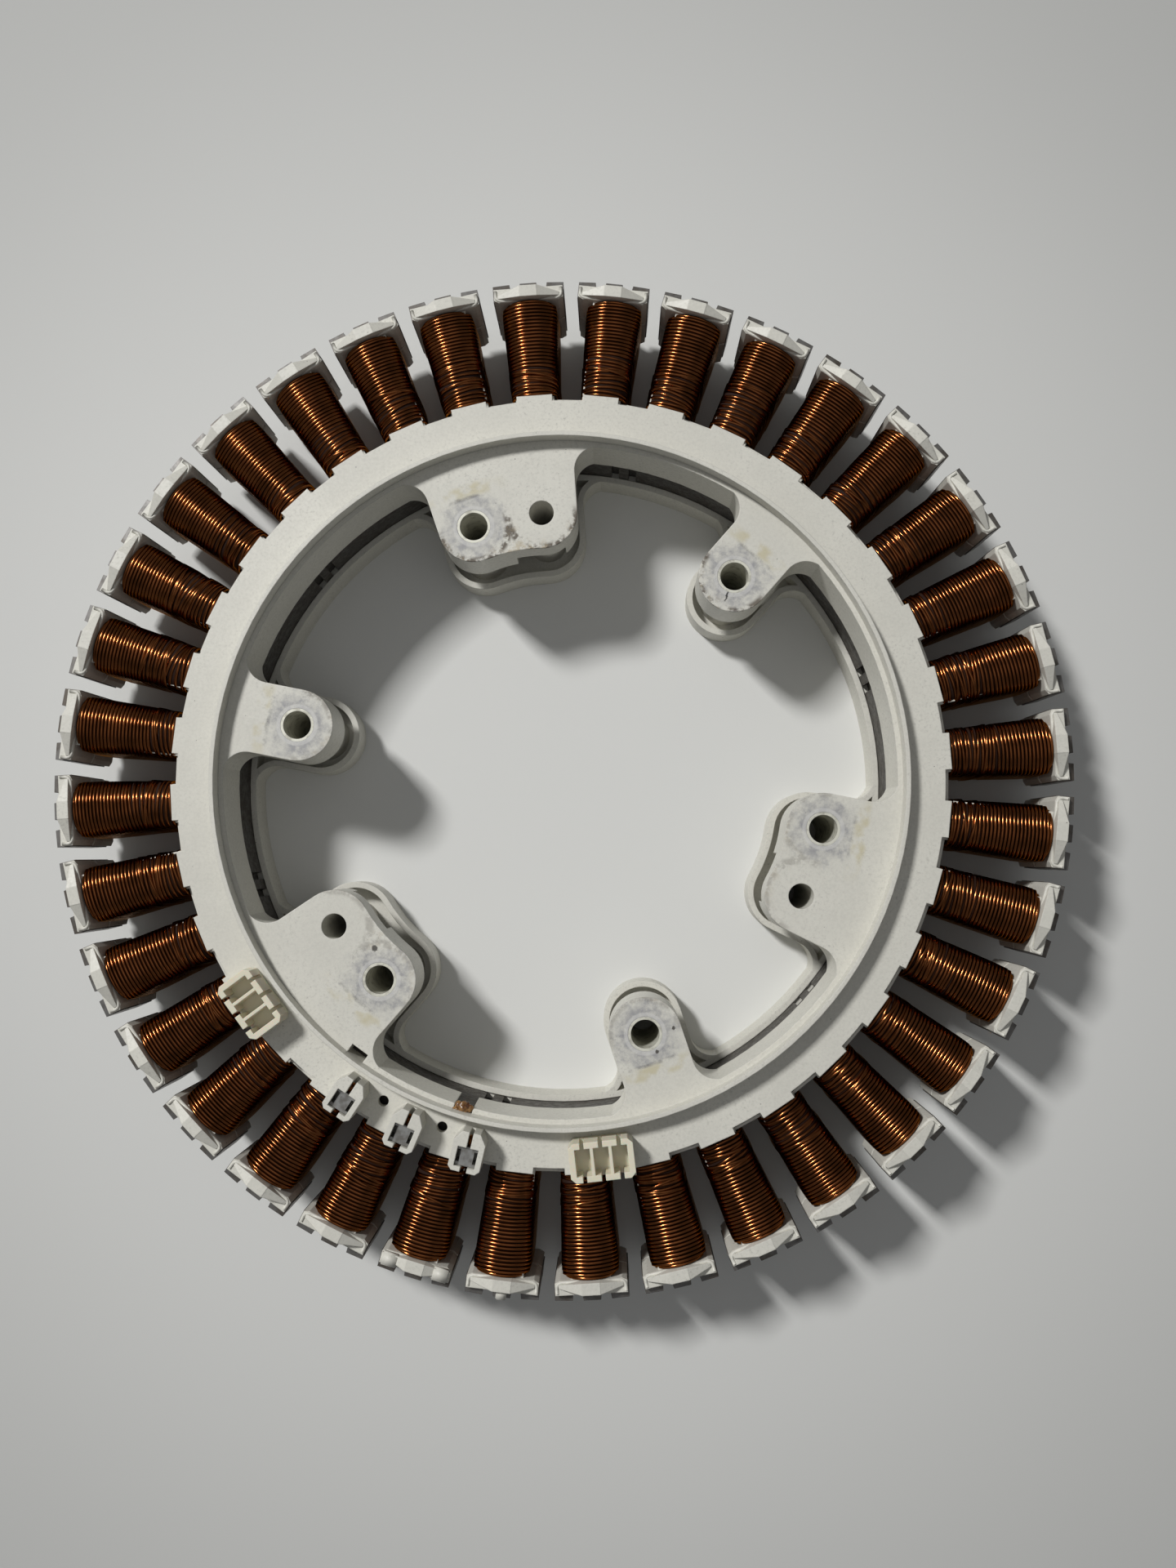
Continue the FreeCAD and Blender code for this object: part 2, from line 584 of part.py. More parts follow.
def make_ring_openings(body):
    """Two clip slots through the ledge and two small holes through the flat ring."""
    slot_low, slot_high = "-sizes.clip_slot_width / 2", "sizes.clip_slot_width / 2"
    inner, outer = "sizes.upper_wall_radius - sizes.cut_margin", "sizes.ridge_inner_radius"
    for number in (0, 1):
        turn = f"sizes.clip_slot_angle + {number} * sizes.clip_slot_step"
        slot = new_sketch(body, f"clip_slot_{number + 1}", "-sizes.upper_wall_depth", turn)
        add_polygon(slot, [(inner, slot_low), (outer, slot_low), (outer, slot_high), (inner, slot_high)])
        pocket(body, slot, "sizes.upper_wall_depth + sizes.ridge_height")
        turn = f"sizes.vent_angle + {number} * sizes.pocket_pitch"
        vent = new_sketch(body, f"vent_{number + 1}", "0", turn)
        add_circle(vent, "sizes.vent_circle_radius", "0", "sizes.vent_radius")
        pocket(body, vent, "sizes.ring_height")


def make_terminal_pocket(body, number):
    """Open-topped pocket for one terminal, moulded on the flat ring."""
    turn = f"sizes.pocket_angle + {number} * sizes.pocket_pitch"
    inner, outer = "sizes.pocket_inner_radius", "sizes.pocket_outer_radius"
    half, corner = "sizes.pocket_width / 2", "sizes.pocket_corner"
    outside = new_sketch(body, f"pocket_{number + 1}_plan", "sizes.ring_height", turn)
    add_polygon(outside, mirrored([
        (inner, "sizes.pocket_nose_width / 2"),
        (f"{inner} + sizes.pocket_nose_length", half),
        (f"{outer} - {corner}", half),
        (outer, f"{half} - {corner}"),
    ]))
    pad(body, outside, "sizes.pocket_height")
    floor = "sizes.ring_height + sizes.pocket_floor"
    cavity = new_sketch(body, f"pocket_{number + 1}_cavity", floor, turn)
    end = f"{outer} - sizes.pocket_outer_wall"
    start = f"{end} - sizes.cavity_length"
    add_polygon(cavity, mirrored([
        (f"{inner} - sizes.cut_margin", "sizes.wire_slot_width / 2"),
        (start, "sizes.wire_slot_width / 2"),
        (start, "sizes.cavity_width / 2"),
        (end, "sizes.cavity_width / 2"),
        (end, "sizes.key_slot_width / 2"),
        (f"{outer} + sizes.cut_margin", "sizes.key_slot_width / 2"),
    ]))
    pocket(body, cavity, "sizes.pocket_height")


def make_lower_insulator(linings):
    """Lower insulator, whose wider lugs and inner wall reach down to the resting face."""
    body = new_body("lower_ring", several_solids=True)
    make_lugs(body, -1, "sizes.lower_lug_radius", "sizes.lower_lug_wall", "sizes.lower_wall_radius",
              "-sizes.lower_wall_rise", "sizes.stack_base", "sizes.stack_base - sizes.boss_joint")
    ring_low = "sizes.ring_height - sizes.ring_thickness"
    hollow_end = "sizes.ring_outer_radius - sizes.ring_outer_wall"
    wall_outer = "sizes.lower_wall_radius + sizes.lower_wall_thickness"
    seat = "sizes.yoke_inner_radius + sizes.lower_wall_thickness"
    make_ring(body, "lower_ring_section", [
        ("sizes.lower_wall_radius", "-sizes.lower_wall_rise"),
        (wall_outer, "-sizes.lower_wall_rise"),
        (wall_outer, "0"),
        (seat, "0"),
        (seat, ring_low),
        (hollow_end, ring_low),
        (hollow_end, "0"),
        ("sizes.ring_outer_radius", "0"),
        ("sizes.ring_outer_radius", "sizes.ring_height"),
        (wall_outer, "sizes.ring_height"),
        (wall_outer, "sizes.stack_base"),
        ("sizes.lower_wall_radius", "sizes.stack_base"),
    ])
    insulator = fuse_insulator("lower_insulator", body, linings)
    insulator.Placement = Placement(Vector(0, 0, size("sizes.stack_base")), TURNED_OVER)
    insulator.setExpression("Placement.Base.z", "sizes.stack_base")


# ---------------------------------------------------------------------------------------------
# Coils, bushes, terminals and connector housings
# ---------------------------------------------------------------------------------------------
def long_corner_edges(shape):
    """Names of the edges that run along the tooth on the outside of a coil."""
    names = []
    for index, edge in enumerate(shape.Edges, start=1):
        ends = [vertex.Point for vertex in edge.Vertexes]
        level = abs(ends[0].z - ends[1].z) < 0.001
        lengthwise = abs(ends[0].x - ends[1].x) > shape.BoundBox.XLength / 2
        if level and lengthwise:
            names.append(f"Edge{index}")
    return names


def make_coil(number):
    """One coil: a tapered winding round its tooth, wider at the tip than at the yoke."""
    body = new_body(f"coil_{number:02d}")
    end = "sizes.shoe_inner_radius - sizes.fit_gap - sizes.flange_wall - sizes.coil_flange_gap"
    lining = "sizes.saddle_thickness + sizes.coil_bed_gap"
    half_height = f"(sizes.stack_height / 2 + {lining} + sizes.coil_end_depth)"
    plan = new_sketch(body, f"coil_plan_{number:02d}", f"-{half_height}")
    shoulder = "sizes.coil_shoulder"
    add_polygon(plan, mirrored([
        ("sizes.coil_inner_radius", "sizes.coil_yoke_width / 2"),
        (f"{end} - {shoulder}", "sizes.coil_tip_width / 2"),
        (end, f"sizes.coil_tip_width / 2 - {shoulder}"),
    ]))
    winding = pad(body, plan, f"2 * {half_height}")
    doc.recompute()
    bevel = body.newObject("PartDesign::Chamfer", f"coil_bevel_{number:02d}")
    bevel.Base = (winding, long_corner_edges(winding.Shape))
    bevel.setExpression("Size", "sizes.coil_bevel")
    bed_height = f"(sizes.stack_height / 2 + {lining})"
    bed_width = "sizes.tooth_width / 2 + sizes.fit_gap + sizes.insulator_wall + sizes.coil_bed_gap"
    bed = new_sketch(body, f"coil_bed_{number:02d}", f"-{bed_height}")
    bed_start, bed_end = "sizes.coil_inner_radius - sizes.cut_margin", f"{end} + sizes.cut_margin"
    add_polygon(bed, mirrored([(bed_start, bed_width), (bed_end, bed_width)]))
    pocket(body, bed, f"2 * {bed_height}")
    middle = "sizes.stack_base + sizes.stack_height / 2"
    place(body, angle=f"{number - 1} * 360 / sizes.tooth_count", height=middle)


def make_bush(label, angle, base, height):
    """Steel bush pressed into a lug, for one mounting bolt."""
    body = new_body(label)
    plan = new_sketch(body, f"{label}_plan")
    add_circle(plan, "0", "0", "sizes.bolt_hole_radius + sizes.bush_wall")
    add_circle(plan, "0", "0", "sizes.bolt_hole_radius")
    pad(body, plan, height)
    place(body, radius="sizes.bolt_circle_radius", angle=angle, height=base)


def make_bushes():
    """Six bushes in the upper lugs and six in the lower lugs, which meet at the boss joint."""
    top = "sizes.stack_base + sizes.stack_height + sizes.upper_ledge_height"
    single_count = int(size("sizes.lug_repeat"))
    number = 0
    for turn in range(single_count):
        for first in ("sizes.bolt_angle", "sizes.double_bolt_angle"):
            number += 1
            angle = f"{first} + {turn} * 360 / sizes.lug_repeat"
            make_bush(f"upper_bush_{number}", angle, "sizes.boss_joint", f"{top} - sizes.boss_joint")
            make_bush(f"lower_bush_{number}", angle, "0", "sizes.boss_joint")


def make_terminal(number):
    """Folded terminal that cuts into the wire, an H in plan, standing in its pocket."""
    body = new_body(f"winding_terminal_{number + 1}")
    gap = "sizes.terminal_clearance"
    half_length = f"(sizes.cavity_length / 2 - {gap})"
    half_width = f"(sizes.cavity_width / 2 - {gap})"
    sheet_metal = "sizes.terminal_sheet"
    plan = new_sketch(body, f"terminal_plan_{number + 1}")
    bar = f"{half_length} - {sheet_metal}"
    neck = f"{half_width} - {sheet_metal}"
    add_polygon(plan, mirrored([
        (f"-{half_length}", half_width),
        (f"-({bar})", half_width),
        (f"-({bar})", neck),
        (bar, neck),
        (bar, half_width),
        (half_length, half_width),
    ]))
    height = "sizes.pocket_height - sizes.pocket_floor - sizes.terminal_sink"
    pad(body, plan, height)
    radius = "sizes.pocket_outer_radius - sizes.pocket_outer_wall - sizes.cavity_length / 2"
    base = "sizes.stack_base + sizes.stack_height + sizes.ring_height + sizes.pocket_floor"
    place(body, radius, f"sizes.pocket_angle + {number} * sizes.pocket_pitch", base)


def make_housing(label, angle):
    """Three-pole connector housing: open wells, with a slot through each end of a well."""
    body = new_body(label)
    half_length, half_width = "sizes.housing_length / 2", "sizes.housing_width / 2"
    corner = "sizes.housing_corner"
    outside = new_sketch(body, f"{label}_plan")
    add_polygon(outside, mirrored([
        (f"-{half_length}", f"{half_width} - {corner}"),
        (f"-{half_length} + {corner}", half_width),
        (f"{half_length} - {corner}", half_width),
        (half_length, f"{half_width} - {corner}"),
    ]))
    pad(body, outside, "sizes.pocket_height")
    wells = new_sketch(body, f"{label}_wells", "sizes.housing_floor")
    half_slot, half_well = "sizes.wire_slot_width / 2", "sizes.well_width / 2"
    reach = "sizes.well_length / 2"
    past_end = f"{half_length} + sizes.cut_margin"
    for pole in range(int(size("sizes.pole_count"))):
        middle = f"({pole} - (sizes.pole_count - 1) / 2) * sizes.pole_pitch"
        corners = [
            (f"-({past_end})", half_slot), (f"-{reach}", half_slot), (f"-{reach}", half_well),
            (reach, half_well), (reach, half_slot), (past_end, half_slot),
        ]
        upper = [(x, f"{middle} + {y}") for x, y in corners]
        lower = [(x, f"{middle} - {y}") for x, y in reversed(corners)]
        add_polygon(wells, upper + lower)
    pocket(body, wells, "sizes.pocket_height")
    base = "sizes.stack_base + sizes.stack_height + sizes.ring_height"
    place(body, f"sizes.housing_inner_radius + {half_length}", angle, base)


make_core()
tooth_linings = make_tooth_linings()
make_upper_insulator(tooth_linings)
make_lower_insulator(tooth_linings)
for coil_number in range(1, int(size("sizes.tooth_count")) + 1):
    make_coil(coil_number)
make_bushes()
for terminal_number in range(int(size("sizes.pocket_count"))):
    make_terminal(terminal_number)
make_housing("sensor_housing", "sizes.sensor_housing_angle")
make_housing("power_housing", "sizes.power_housing_angle")
doc.recompute()

for item in doc.Objects:
    if "Invalid" in item.State or "Error" in item.State:
        raise RuntimeError(f"{item.Label} failed: {item.State}")
os.makedirs("parts", exist_ok=True)
for item in sub_parts:
    if item.Shape.isNull() or not item.Shape.isValid():
        raise RuntimeError(f"{item.Label} has no valid shape")
for item in sub_parts:
    item.Shape.exportStep(f"parts/{item.Label}.step")
print(len(sub_parts), "sub-parts written")
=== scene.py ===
import json
import math
import random

import bmesh
import bpy
import numpy as np
from bpy.props import FloatProperty, FloatVectorProperty, IntProperty, PointerProperty
from mathutils import Matrix, Vector, noise


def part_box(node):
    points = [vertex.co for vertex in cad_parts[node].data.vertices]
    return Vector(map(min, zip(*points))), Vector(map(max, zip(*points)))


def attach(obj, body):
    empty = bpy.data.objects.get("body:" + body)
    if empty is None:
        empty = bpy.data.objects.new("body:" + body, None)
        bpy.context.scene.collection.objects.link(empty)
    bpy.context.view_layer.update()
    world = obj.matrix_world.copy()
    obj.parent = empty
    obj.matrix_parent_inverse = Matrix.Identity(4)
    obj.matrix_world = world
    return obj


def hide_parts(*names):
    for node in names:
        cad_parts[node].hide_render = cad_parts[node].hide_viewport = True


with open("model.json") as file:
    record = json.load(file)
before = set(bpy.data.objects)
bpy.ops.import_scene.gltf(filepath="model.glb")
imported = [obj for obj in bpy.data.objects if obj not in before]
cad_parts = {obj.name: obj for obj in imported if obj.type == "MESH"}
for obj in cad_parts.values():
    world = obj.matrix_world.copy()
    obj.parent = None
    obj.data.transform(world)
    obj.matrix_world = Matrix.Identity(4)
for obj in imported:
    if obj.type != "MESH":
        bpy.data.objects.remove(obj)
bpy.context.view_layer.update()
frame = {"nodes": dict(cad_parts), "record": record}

bl_info = {
    "name": "Wound stator",
    "version": (1, 0, 0),
    "blender": (4, 5, 0),
    "location": "3D View > Sidebar > Stator",
    "description": "Dresses the stator of a direct-drive motor: core, mouldings and windings",
    "category": "Object",
}

MM = 0.001
NODES = frame["nodes"]
COILS = sorted(name for name in NODES if name.startswith("coil_"))
BUSHES = sorted(name for name in NODES if "_bush_" in name)
TERMINALS = sorted(name for name in NODES if name.startswith("winding_terminal_"))
HOUSINGS = sorted(name for name in NODES if name.endswith("_housing"))
MOUNTS = {mount["name"]: mount for mount in frame["record"]["mounts"]}
BOLT_CIRCLE = MOUNTS["mounting_bolts"]["dims"]["pcd_mm"] / 2 * MM
FIRST_BOLT, BOLT_SPACING = math.radians(45), math.radians(60)
FIRST_PIN, PIN_SPACING = math.radians(90), math.radians(120)
CORE_LOW, CORE_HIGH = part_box("core_stack")
# The faces of the upper lugs and the ledge that joins them stand 6 mm above the core.
LUG_FACE = CORE_HIGH.z + 6 * MM
FLANGE_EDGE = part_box("upper_insulator")[1].x
# The first coil lies on +X, so its box gives the size of every coil.
COIL_LOW, COIL_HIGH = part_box("coil_01")
COIL_MIDDLE = (COIL_LOW.z + COIL_HIGH.z) / 2


# ------------------------------------------------------------------------------------------
# Sizes and colours that a user would change
# ------------------------------------------------------------------------------------------
class WindingSettings(bpy.types.PropertyGroup):
    """The coils and their wire"""

    turns: IntProperty(
        name="Turns in the outer layer", description="Turns that show along one coil",
        default=27, min=3)
    wire_diameter: FloatProperty(
        name="Wire", description="Diameter of the enamelled wire",
        default=0.92 * MM, min=0.1 * MM, unit="LENGTH")
    crown: FloatProperty(
        name="Crown", description="Height of the arch over a tooth's end",
        default=4.6 * MM, min=0.0, unit="LENGTH")
    yoke_width: FloatProperty(
        name="Width at the yoke", description="Width of a coil beside the yoke",
        default=12.9 * MM, min=0.0, unit="LENGTH")
    shoulder: FloatProperty(
        name="Shoulder", description="Length over which a coil rounds off at its tip",
        default=1.9 * MM, min=0.0, unit="LENGTH")
    looseness: FloatProperty(
        name="Looseness", description="How far the turns near the yoke lie askew",
        default=0.42 * MM, min=0.0, unit="LENGTH")
    seed: IntProperty(
        name="Seed", description="Start of the random numbers that place the turns", default=36)
    copper: FloatVectorProperty(
        name="Enamelled copper", description="Colour of the wire", subtype="COLOR",
        default=(0.25, 0.088, 0.03), min=0.0, max=1.0)
    # Near-black colour of the inner layers: painted shade in the gaps between the outer turns,
    # whose wire is copper.
    under_layer_shade: FloatVectorProperty(
        name="Inner layers", description="Colour of the layers under the outer turns",
        subtype="COLOR", default=(0.012, 0.005, 0.003), min=0.0, max=1.0)


class MouldingSettings(bpy.types.PropertyGroup):
    """The insulators, the connector housings and their wear"""

    plastic: FloatVectorProperty(
        name="Insulator", description="Colour of the moulded insulators", subtype="COLOR",
        default=(0.62, 0.605, 0.54), min=0.0, max=1.0)
    yellowing: FloatVectorProperty(
        name="Yellowing", description="Colour of aged plastic", subtype="COLOR",
        default=(0.50, 0.45, 0.29), min=0.0, max=1.0)
    smear: FloatVectorProperty(
        name="Metal smear", description="Colour of the metal rubbed off under the bolt heads",
        subtype="COLOR", default=(0.21, 0.21, 0.235), min=0.0, max=1.0)
    dirt: FloatVectorProperty(
        name="Dirt", description="Colour of grease and soot", subtype="COLOR",
        default=(0.045, 0.038, 0.03), min=0.0, max=1.0)
    nylon: FloatVectorProperty(
        name="Connector nylon", description="Colour of the connector housings", subtype="COLOR",
        default=(0.66, 0.62, 0.49), min=0.0, max=1.0)
    smear_radius: FloatProperty(
        name="Smear", description="Radius of the smear round a bolt hole",
        default=10.5 * MM, min=0.0, unit="LENGTH")
    seat_radius: FloatProperty(
        name="Seat", description="Radius of the flange that the lugs were bolted to",
        default=76.0 * MM, min=0.0, unit="LENGTH")
    flange_width: FloatProperty(
        name="Tip flange", description="Width of a tip flange",
        default=18.3 * MM, min=0.0, unit="LENGTH")
    flange_thickness: FloatProperty(
        name="Tip flange plate", description="Thickness of a tip flange's plate",
        default=2.0 * MM, min=0.0, unit="LENGTH")
    rim: FloatProperty(
        name="Rim", description="Radius of the bead round a tip flange",
        default=0.45 * MM, min=0.0, unit="LENGTH")


class MetalSettings(bpy.types.PropertyGroup):
    """The core, the bushes and the terminals"""

    lamination: FloatProperty(
        name="Lamination", description="Thickness of one sheet of the core",
        default=0.5 * MM, min=0.05 * MM, unit="LENGTH")
    steel: FloatVectorProperty(
        name="Core steel", description="Colour of the laminations", subtype="COLOR",
        default=(0.27, 0.262, 0.25), min=0.0, max=1.0)
    oxide: FloatVectorProperty(
        name="Oxide", description="Colour of the brown film on the steel", subtype="COLOR",
        default=(0.15, 0.125, 0.10), min=0.0, max=1.0)
    bush: FloatVectorProperty(
        name="Bush", description="Colour of the mounting bushes", subtype="COLOR",
        default=(0.66, 0.65, 0.56), min=0.0, max=1.0)
    tin: FloatVectorProperty(
        name="Terminal", description="Colour of the tinned terminals", subtype="COLOR",
        default=(0.30, 0.30, 0.29), min=0.0, max=1.0)


class StageSettings(bpy.types.PropertyGroup):
    """The floor, the lamps and the camera"""

    floor: FloatVectorProperty(
        name="Floor", description="Colour of the floor", subtype="COLOR",
        default=(0.56, 0.56, 0.54), min=0.0, max=1.0)
    floor_size: FloatProperty(
        name="Floor size", description="Side of the floor", default=4.0, unit="LENGTH")
    key_power: FloatProperty(
        name="Key lamp", description="Power of the lamp that casts the shadows", default=82.0)
    fill_power: FloatProperty(
        name="Fill lamp", description="Power of the wide lamp overhead", default=1.9)
    surroundings: FloatProperty(
        name="Surroundings", description="Brightness of the room", default=0.15)
    camera_place: FloatVectorProperty(
        name="Camera", description="Where the camera stands", subtype="TRANSLATION",
        unit="LENGTH", default=(0.01322, -0.02103, 0.3356))
    camera_turn: FloatVectorProperty(
        name="Camera turn", description="Tilt, roll and turn from looking straight down",
        subtype="EULER", default=(0.0604, 0.0231, 0.0225 - math.radians(5)))
    lens: FloatProperty(
        name="Lens", description="Focal length on a 36 mm sensor", default=27.28)


# ------------------------------------------------------------------------------------------
# Material helpers
# ------------------------------------------------------------------------------------------
class Shader:
    """A short way to write the node tree of one Principled material."""

    def __init__(self, name):
        self.material = bpy.data.materials.new(name)
        self.material.use_nodes = True
        self.tree = self.material.node_tree
        self.surface = self.tree.nodes["Principled BSDF"]
        self.place = self.node("ShaderNodeTexCoord").outputs["Object"]

    def node(self, kind, **settings):
        made = self.tree.nodes.new(kind)
        for name, value in settings.items():
            setattr(made, name, value)
        return made

    def put(self, socket, value):
        """Links or sets one input."""
        if isinstance(value, bpy.types.NodeSocket):
            self.tree.links.new(value, socket)
        elif hasattr(socket.default_value, "__len__") and len(value) < len(socket.default_value):
            socket.default_value = (*value, 1.0)
        else:
            socket.default_value = value

    def math(self, operation, first, second=0.0):
        made = self.node("ShaderNodeMath", operation=operation)
        self.put(made.inputs[0], first)
        self.put(made.inputs[1], second)
        return made.outputs[0]

    def add(self, first, second):
        return self.math("ADD", first, second)

    def less(self, first, second):
        return self.math("SUBTRACT", first, second)

    def times(self, *factors):
        product = factors[0]
        for factor in factors[1:]:
            product = self.math("MULTIPLY", product, factor)
        return product

    def hypotenuse(self, first, second):
        return self.math("SQRT", self.add(self.times(first, first), self.times(second, second)))

    def ramp(self, value, low, high, start=0.0, end=1.0):
        """Smooth step of a value from one level to another."""
        made = self.node("ShaderNodeMapRange", interpolation_type="SMOOTHSTEP")
        for name, given in (("Value", value), ("From Min", low), ("From Max", high),
                            ("To Min", start), ("To Max", end)):
            self.put(made.inputs[name], given)
        return made.outputs["Result"]

    def band(self, value, middle, half, blur):
        """One inside a band of values, and nothing outside it."""
        off = self.math("ABSOLUTE", self.less(value, middle))
        return self.ramp(off, half + blur, half)

    def noise(self, scale, detail=3.0, roughness=0.5):
        made = self.node("ShaderNodeTexNoise")
        self.put(made.inputs["Vector"], self.place)
        self.put(made.inputs["Scale"], scale)
        self.put(made.inputs["Detail"], detail)
        self.put(made.inputs["Roughness"], roughness)
        return made.outputs["Fac"]

    def specks(self, scale, radius, share):
        """Round specks, at most one in each cell, in a share of the cells."""
        made = self.node("ShaderNodeTexVoronoi")
        self.put(made.inputs["Vector"], self.place)
        self.put(made.inputs["Scale"], scale)
        chosen = self.math("LESS_THAN", self.split(made.outputs["Color"])[0], share)
        return self.times(self.ramp(made.outputs["Distance"], radius, radius * 0.6), chosen)

    def mix(self, share, first, second, blend="MIX"):
        made = self.node("ShaderNodeMix", data_type="RGBA", blend_type=blend)
        factor, colour_a, colour_b = made.inputs[0], made.inputs[6], made.inputs[7]
        self.put(factor, share)
        self.put(colour_a, first)
        self.put(colour_b, second)
        return made.outputs[2]

    def shade(self, colour, level):
        """The colour made lighter or darker by a level round one."""
        grey = self.node("ShaderNodeCombineColor")
        for socket in grey.inputs:
            self.put(socket, level)
        return self.mix(1.0, colour, grey.outputs[0], "MULTIPLY")

    def split(self, vector):
        made = self.node("ShaderNodeSeparateXYZ")
        self.put(made.inputs[0], vector)
        return made.outputs

    def bump(self, height, distance, strength=1.0, edge=0.0):
        """Relief of the surface, with edges rounded by a bevel where one is given."""
        made = self.node("ShaderNodeBump")
        self.put(made.inputs["Height"], height)
        self.put(made.inputs["Distance"], distance)
        self.put(made.inputs["Strength"], strength)
        if edge:
            bevel = self.node("ShaderNodeBevel", samples=4)
            self.put(bevel.inputs["Radius"], edge)
            self.put(made.inputs["Normal"], bevel.outputs["Normal"])
        self.put(self.surface.inputs["Normal"], made.outputs["Normal"])

    def set(self, **values):
        """Sets the shader's own sockets, by name with spaces as underscores."""
        for name, value in values.items():
            self.put(self.surface.inputs[name.replace("_", " ")], value)
        return self.material


def dress(names, material):
    """Gives CAD nodes a material in place of their plain one."""
    for name in names:
        slots = NODES[name].material_slots
        for index in range(len(slots)):
            slots[index].material = material


def settings():
    return bpy.context.scene.stator


# ------------------------------------------------------------------------------------------
# Materials
# ------------------------------------------------------------------------------------------
ENAMEL_SHEEN = (0.8, 0.5, 0.25)
BURNISHED = (0.62, 0.61, 0.58)
OLD_GREASE = (0.07, 0.05, 0.03)
RUSTY_WATER = (0.36, 0.27, 0.13)
CRACK = (0.01, 0.01, 0.01)
SHEET_SEAM = (0.03, 0.027, 0.024)
# Painted shade for the steel towards the bore.
BORE_SHADE = (0.03, 0.025, 0.02)
BUSH_GRIME = (0.15, 0.135, 0.10)
WORN_TIN = (0.17, 0.16, 0.145)
THICK_GLUE = (0.07, 0.022, 0.006)
THIN_GLUE = (0.27, 0.14, 0.045)

# A bright ring round each bolt hole, and a lug's rounded end, by distance from the hole.
BRIGHT_RING, LUG_END = 4.8 * MM, 9.1 * MM
# How far outside the seat's edge the tide marks lie, and how wide they are at most.
TIDE_OFFSET, TIDE_REACH = 1.9 * MM, 13 * MM
# The crack runs between these distances inwards from its hole.
CRACK_START, CRACK_END = -3.8 * MM, -6.8 * MM

# Spots of dirt on the lugs' faces: x, y and radius, in millimetres.
LUG_SPOTS = ((-49.0, -40.3, 1.1), (20.4, -70.6, 0.5), (24.9, -65.0, 0.45))


def copper_material():
    """Enamelled copper wire, glossy, a little darker and redder in places."""
    winding = settings().winding
    shader = Shader("enamelled_copper")
    tint = shader.noise(160.0, 2.0)
    streak = shader.noise(1500.0, 2.0)
    darker = [channel * 0.6 for channel in winding.copper]
    colour = shader.mix(shader.ramp(tint, 0.35, 0.7), winding.copper, darker)
    rough = shader.ramp(streak, 0.3, 0.7, 0.15, 0.22)
    return shader.set(Base_Color=colour, Metallic=1.0, Roughness=rough,
                      Specular_Tint=ENAMEL_SHEEN)


def shaded_under_layer_material():
    """Inner layers of the winding, seen only in the gaps between the outer turns; their
    near-black colour is painted shade for those gaps.
    """
    winding = settings().winding
    shader = Shader("shaded_inner_layers")
    lines = shader.noise(900.0, 2.0)
    lighter = [channel * 2.2 for channel in winding.under_layer_shade]
    colour = shader.mix(lines, winding.under_layer_shade, lighter)
    shader.bump(lines, 0.2 * MM, 0.5)
    return shader.set(Base_Color=colour, Roughness=0.7, Specular_IOR_Level=0.15)


def insulator_material():
    """Off-white moulding with dust, stains, and metal smears round the bolt holes."""
    moulding = settings().moulding
    shader = Shader("moulded_insulator")
    x, y, z = shader.split(shader.place)
    blotches = shader.noise(45.0, 4.0, 0.6)
    ragged = shader.less(shader.noise(320.0, 5.0, 0.7), 0.5)
    grain = shader.noise(1400.0, 3.0, 0.7)

    colour = shader.shade(moulding.plastic, shader.ramp(blotches, 0.25, 0.75, 0.94, 1.03))
    colour = shader.shade(colour, shader.ramp(grain, 0.3, 0.75, 1.03, 0.93))
    colour = stain_lugs(shader, colour, x, y, z, ragged)
    dust = shader.times(shader.ramp(grain, 0.55, 0.75), shader.ramp(blotches, 0.4, 0.65), 0.28)
    colour = shader.mix(dust, colour, moulding.dirt)
    specks = shader.add(shader.specks(150.0, 0.035, 0.3), shader.specks(420.0, 0.07, 0.12))
    colour = shader.mix(shader.times(specks, 0.75), colour, moulding.dirt)
    colour = spot_lugs(shader, colour, x, y, z, ragged)
    rough = shader.ramp(grain, 0.3, 0.7, 0.4, 0.55)
    shader.bump(grain, 0.05 * MM, 0.3, edge=0.35 * MM)
    return shader.set(Base_Color=colour, Roughness=rough)


def spot_lugs(shader, colour, x, y, z, ragged):
    """Adds the few large spots of dirt on the lugs' faces."""
    above = shader.ramp(z, LUG_FACE - 1.0 * MM, LUG_FACE - 0.2 * MM)
    fraying = shader.times(ragged, 2.4 * MM)
    for across, along, size in LUG_SPOTS:
        off = shader.hypotenuse(shader.less(x, across * MM), shader.less(y, along * MM))
        spot = shader.ramp(shader.add(off, fraying), size * MM, size * 0.7 * MM)
        colour = shader.mix(shader.times(spot, above, 0.9), colour, settings().moulding.dirt)
    return colour


def around_holes(shader, angle, radius, first, spacing):
    """Place round the nearest of a ring of holes: outwards, sideways and in all.

    The angle is folded into one spacing, so that one hole stands for all of them."""
    shifted = shader.math("FLOORED_MODULO", shader.add(angle, spacing / 2 - first), spacing)
    folded = shader.less(shifted, spacing / 2)
    along = shader.less(shader.times(radius, shader.math("COSINE", folded)), BOLT_CIRCLE)
    across = shader.times(radius, shader.math("SINE", folded))
    return along, across, shader.hypotenuse(along, across)


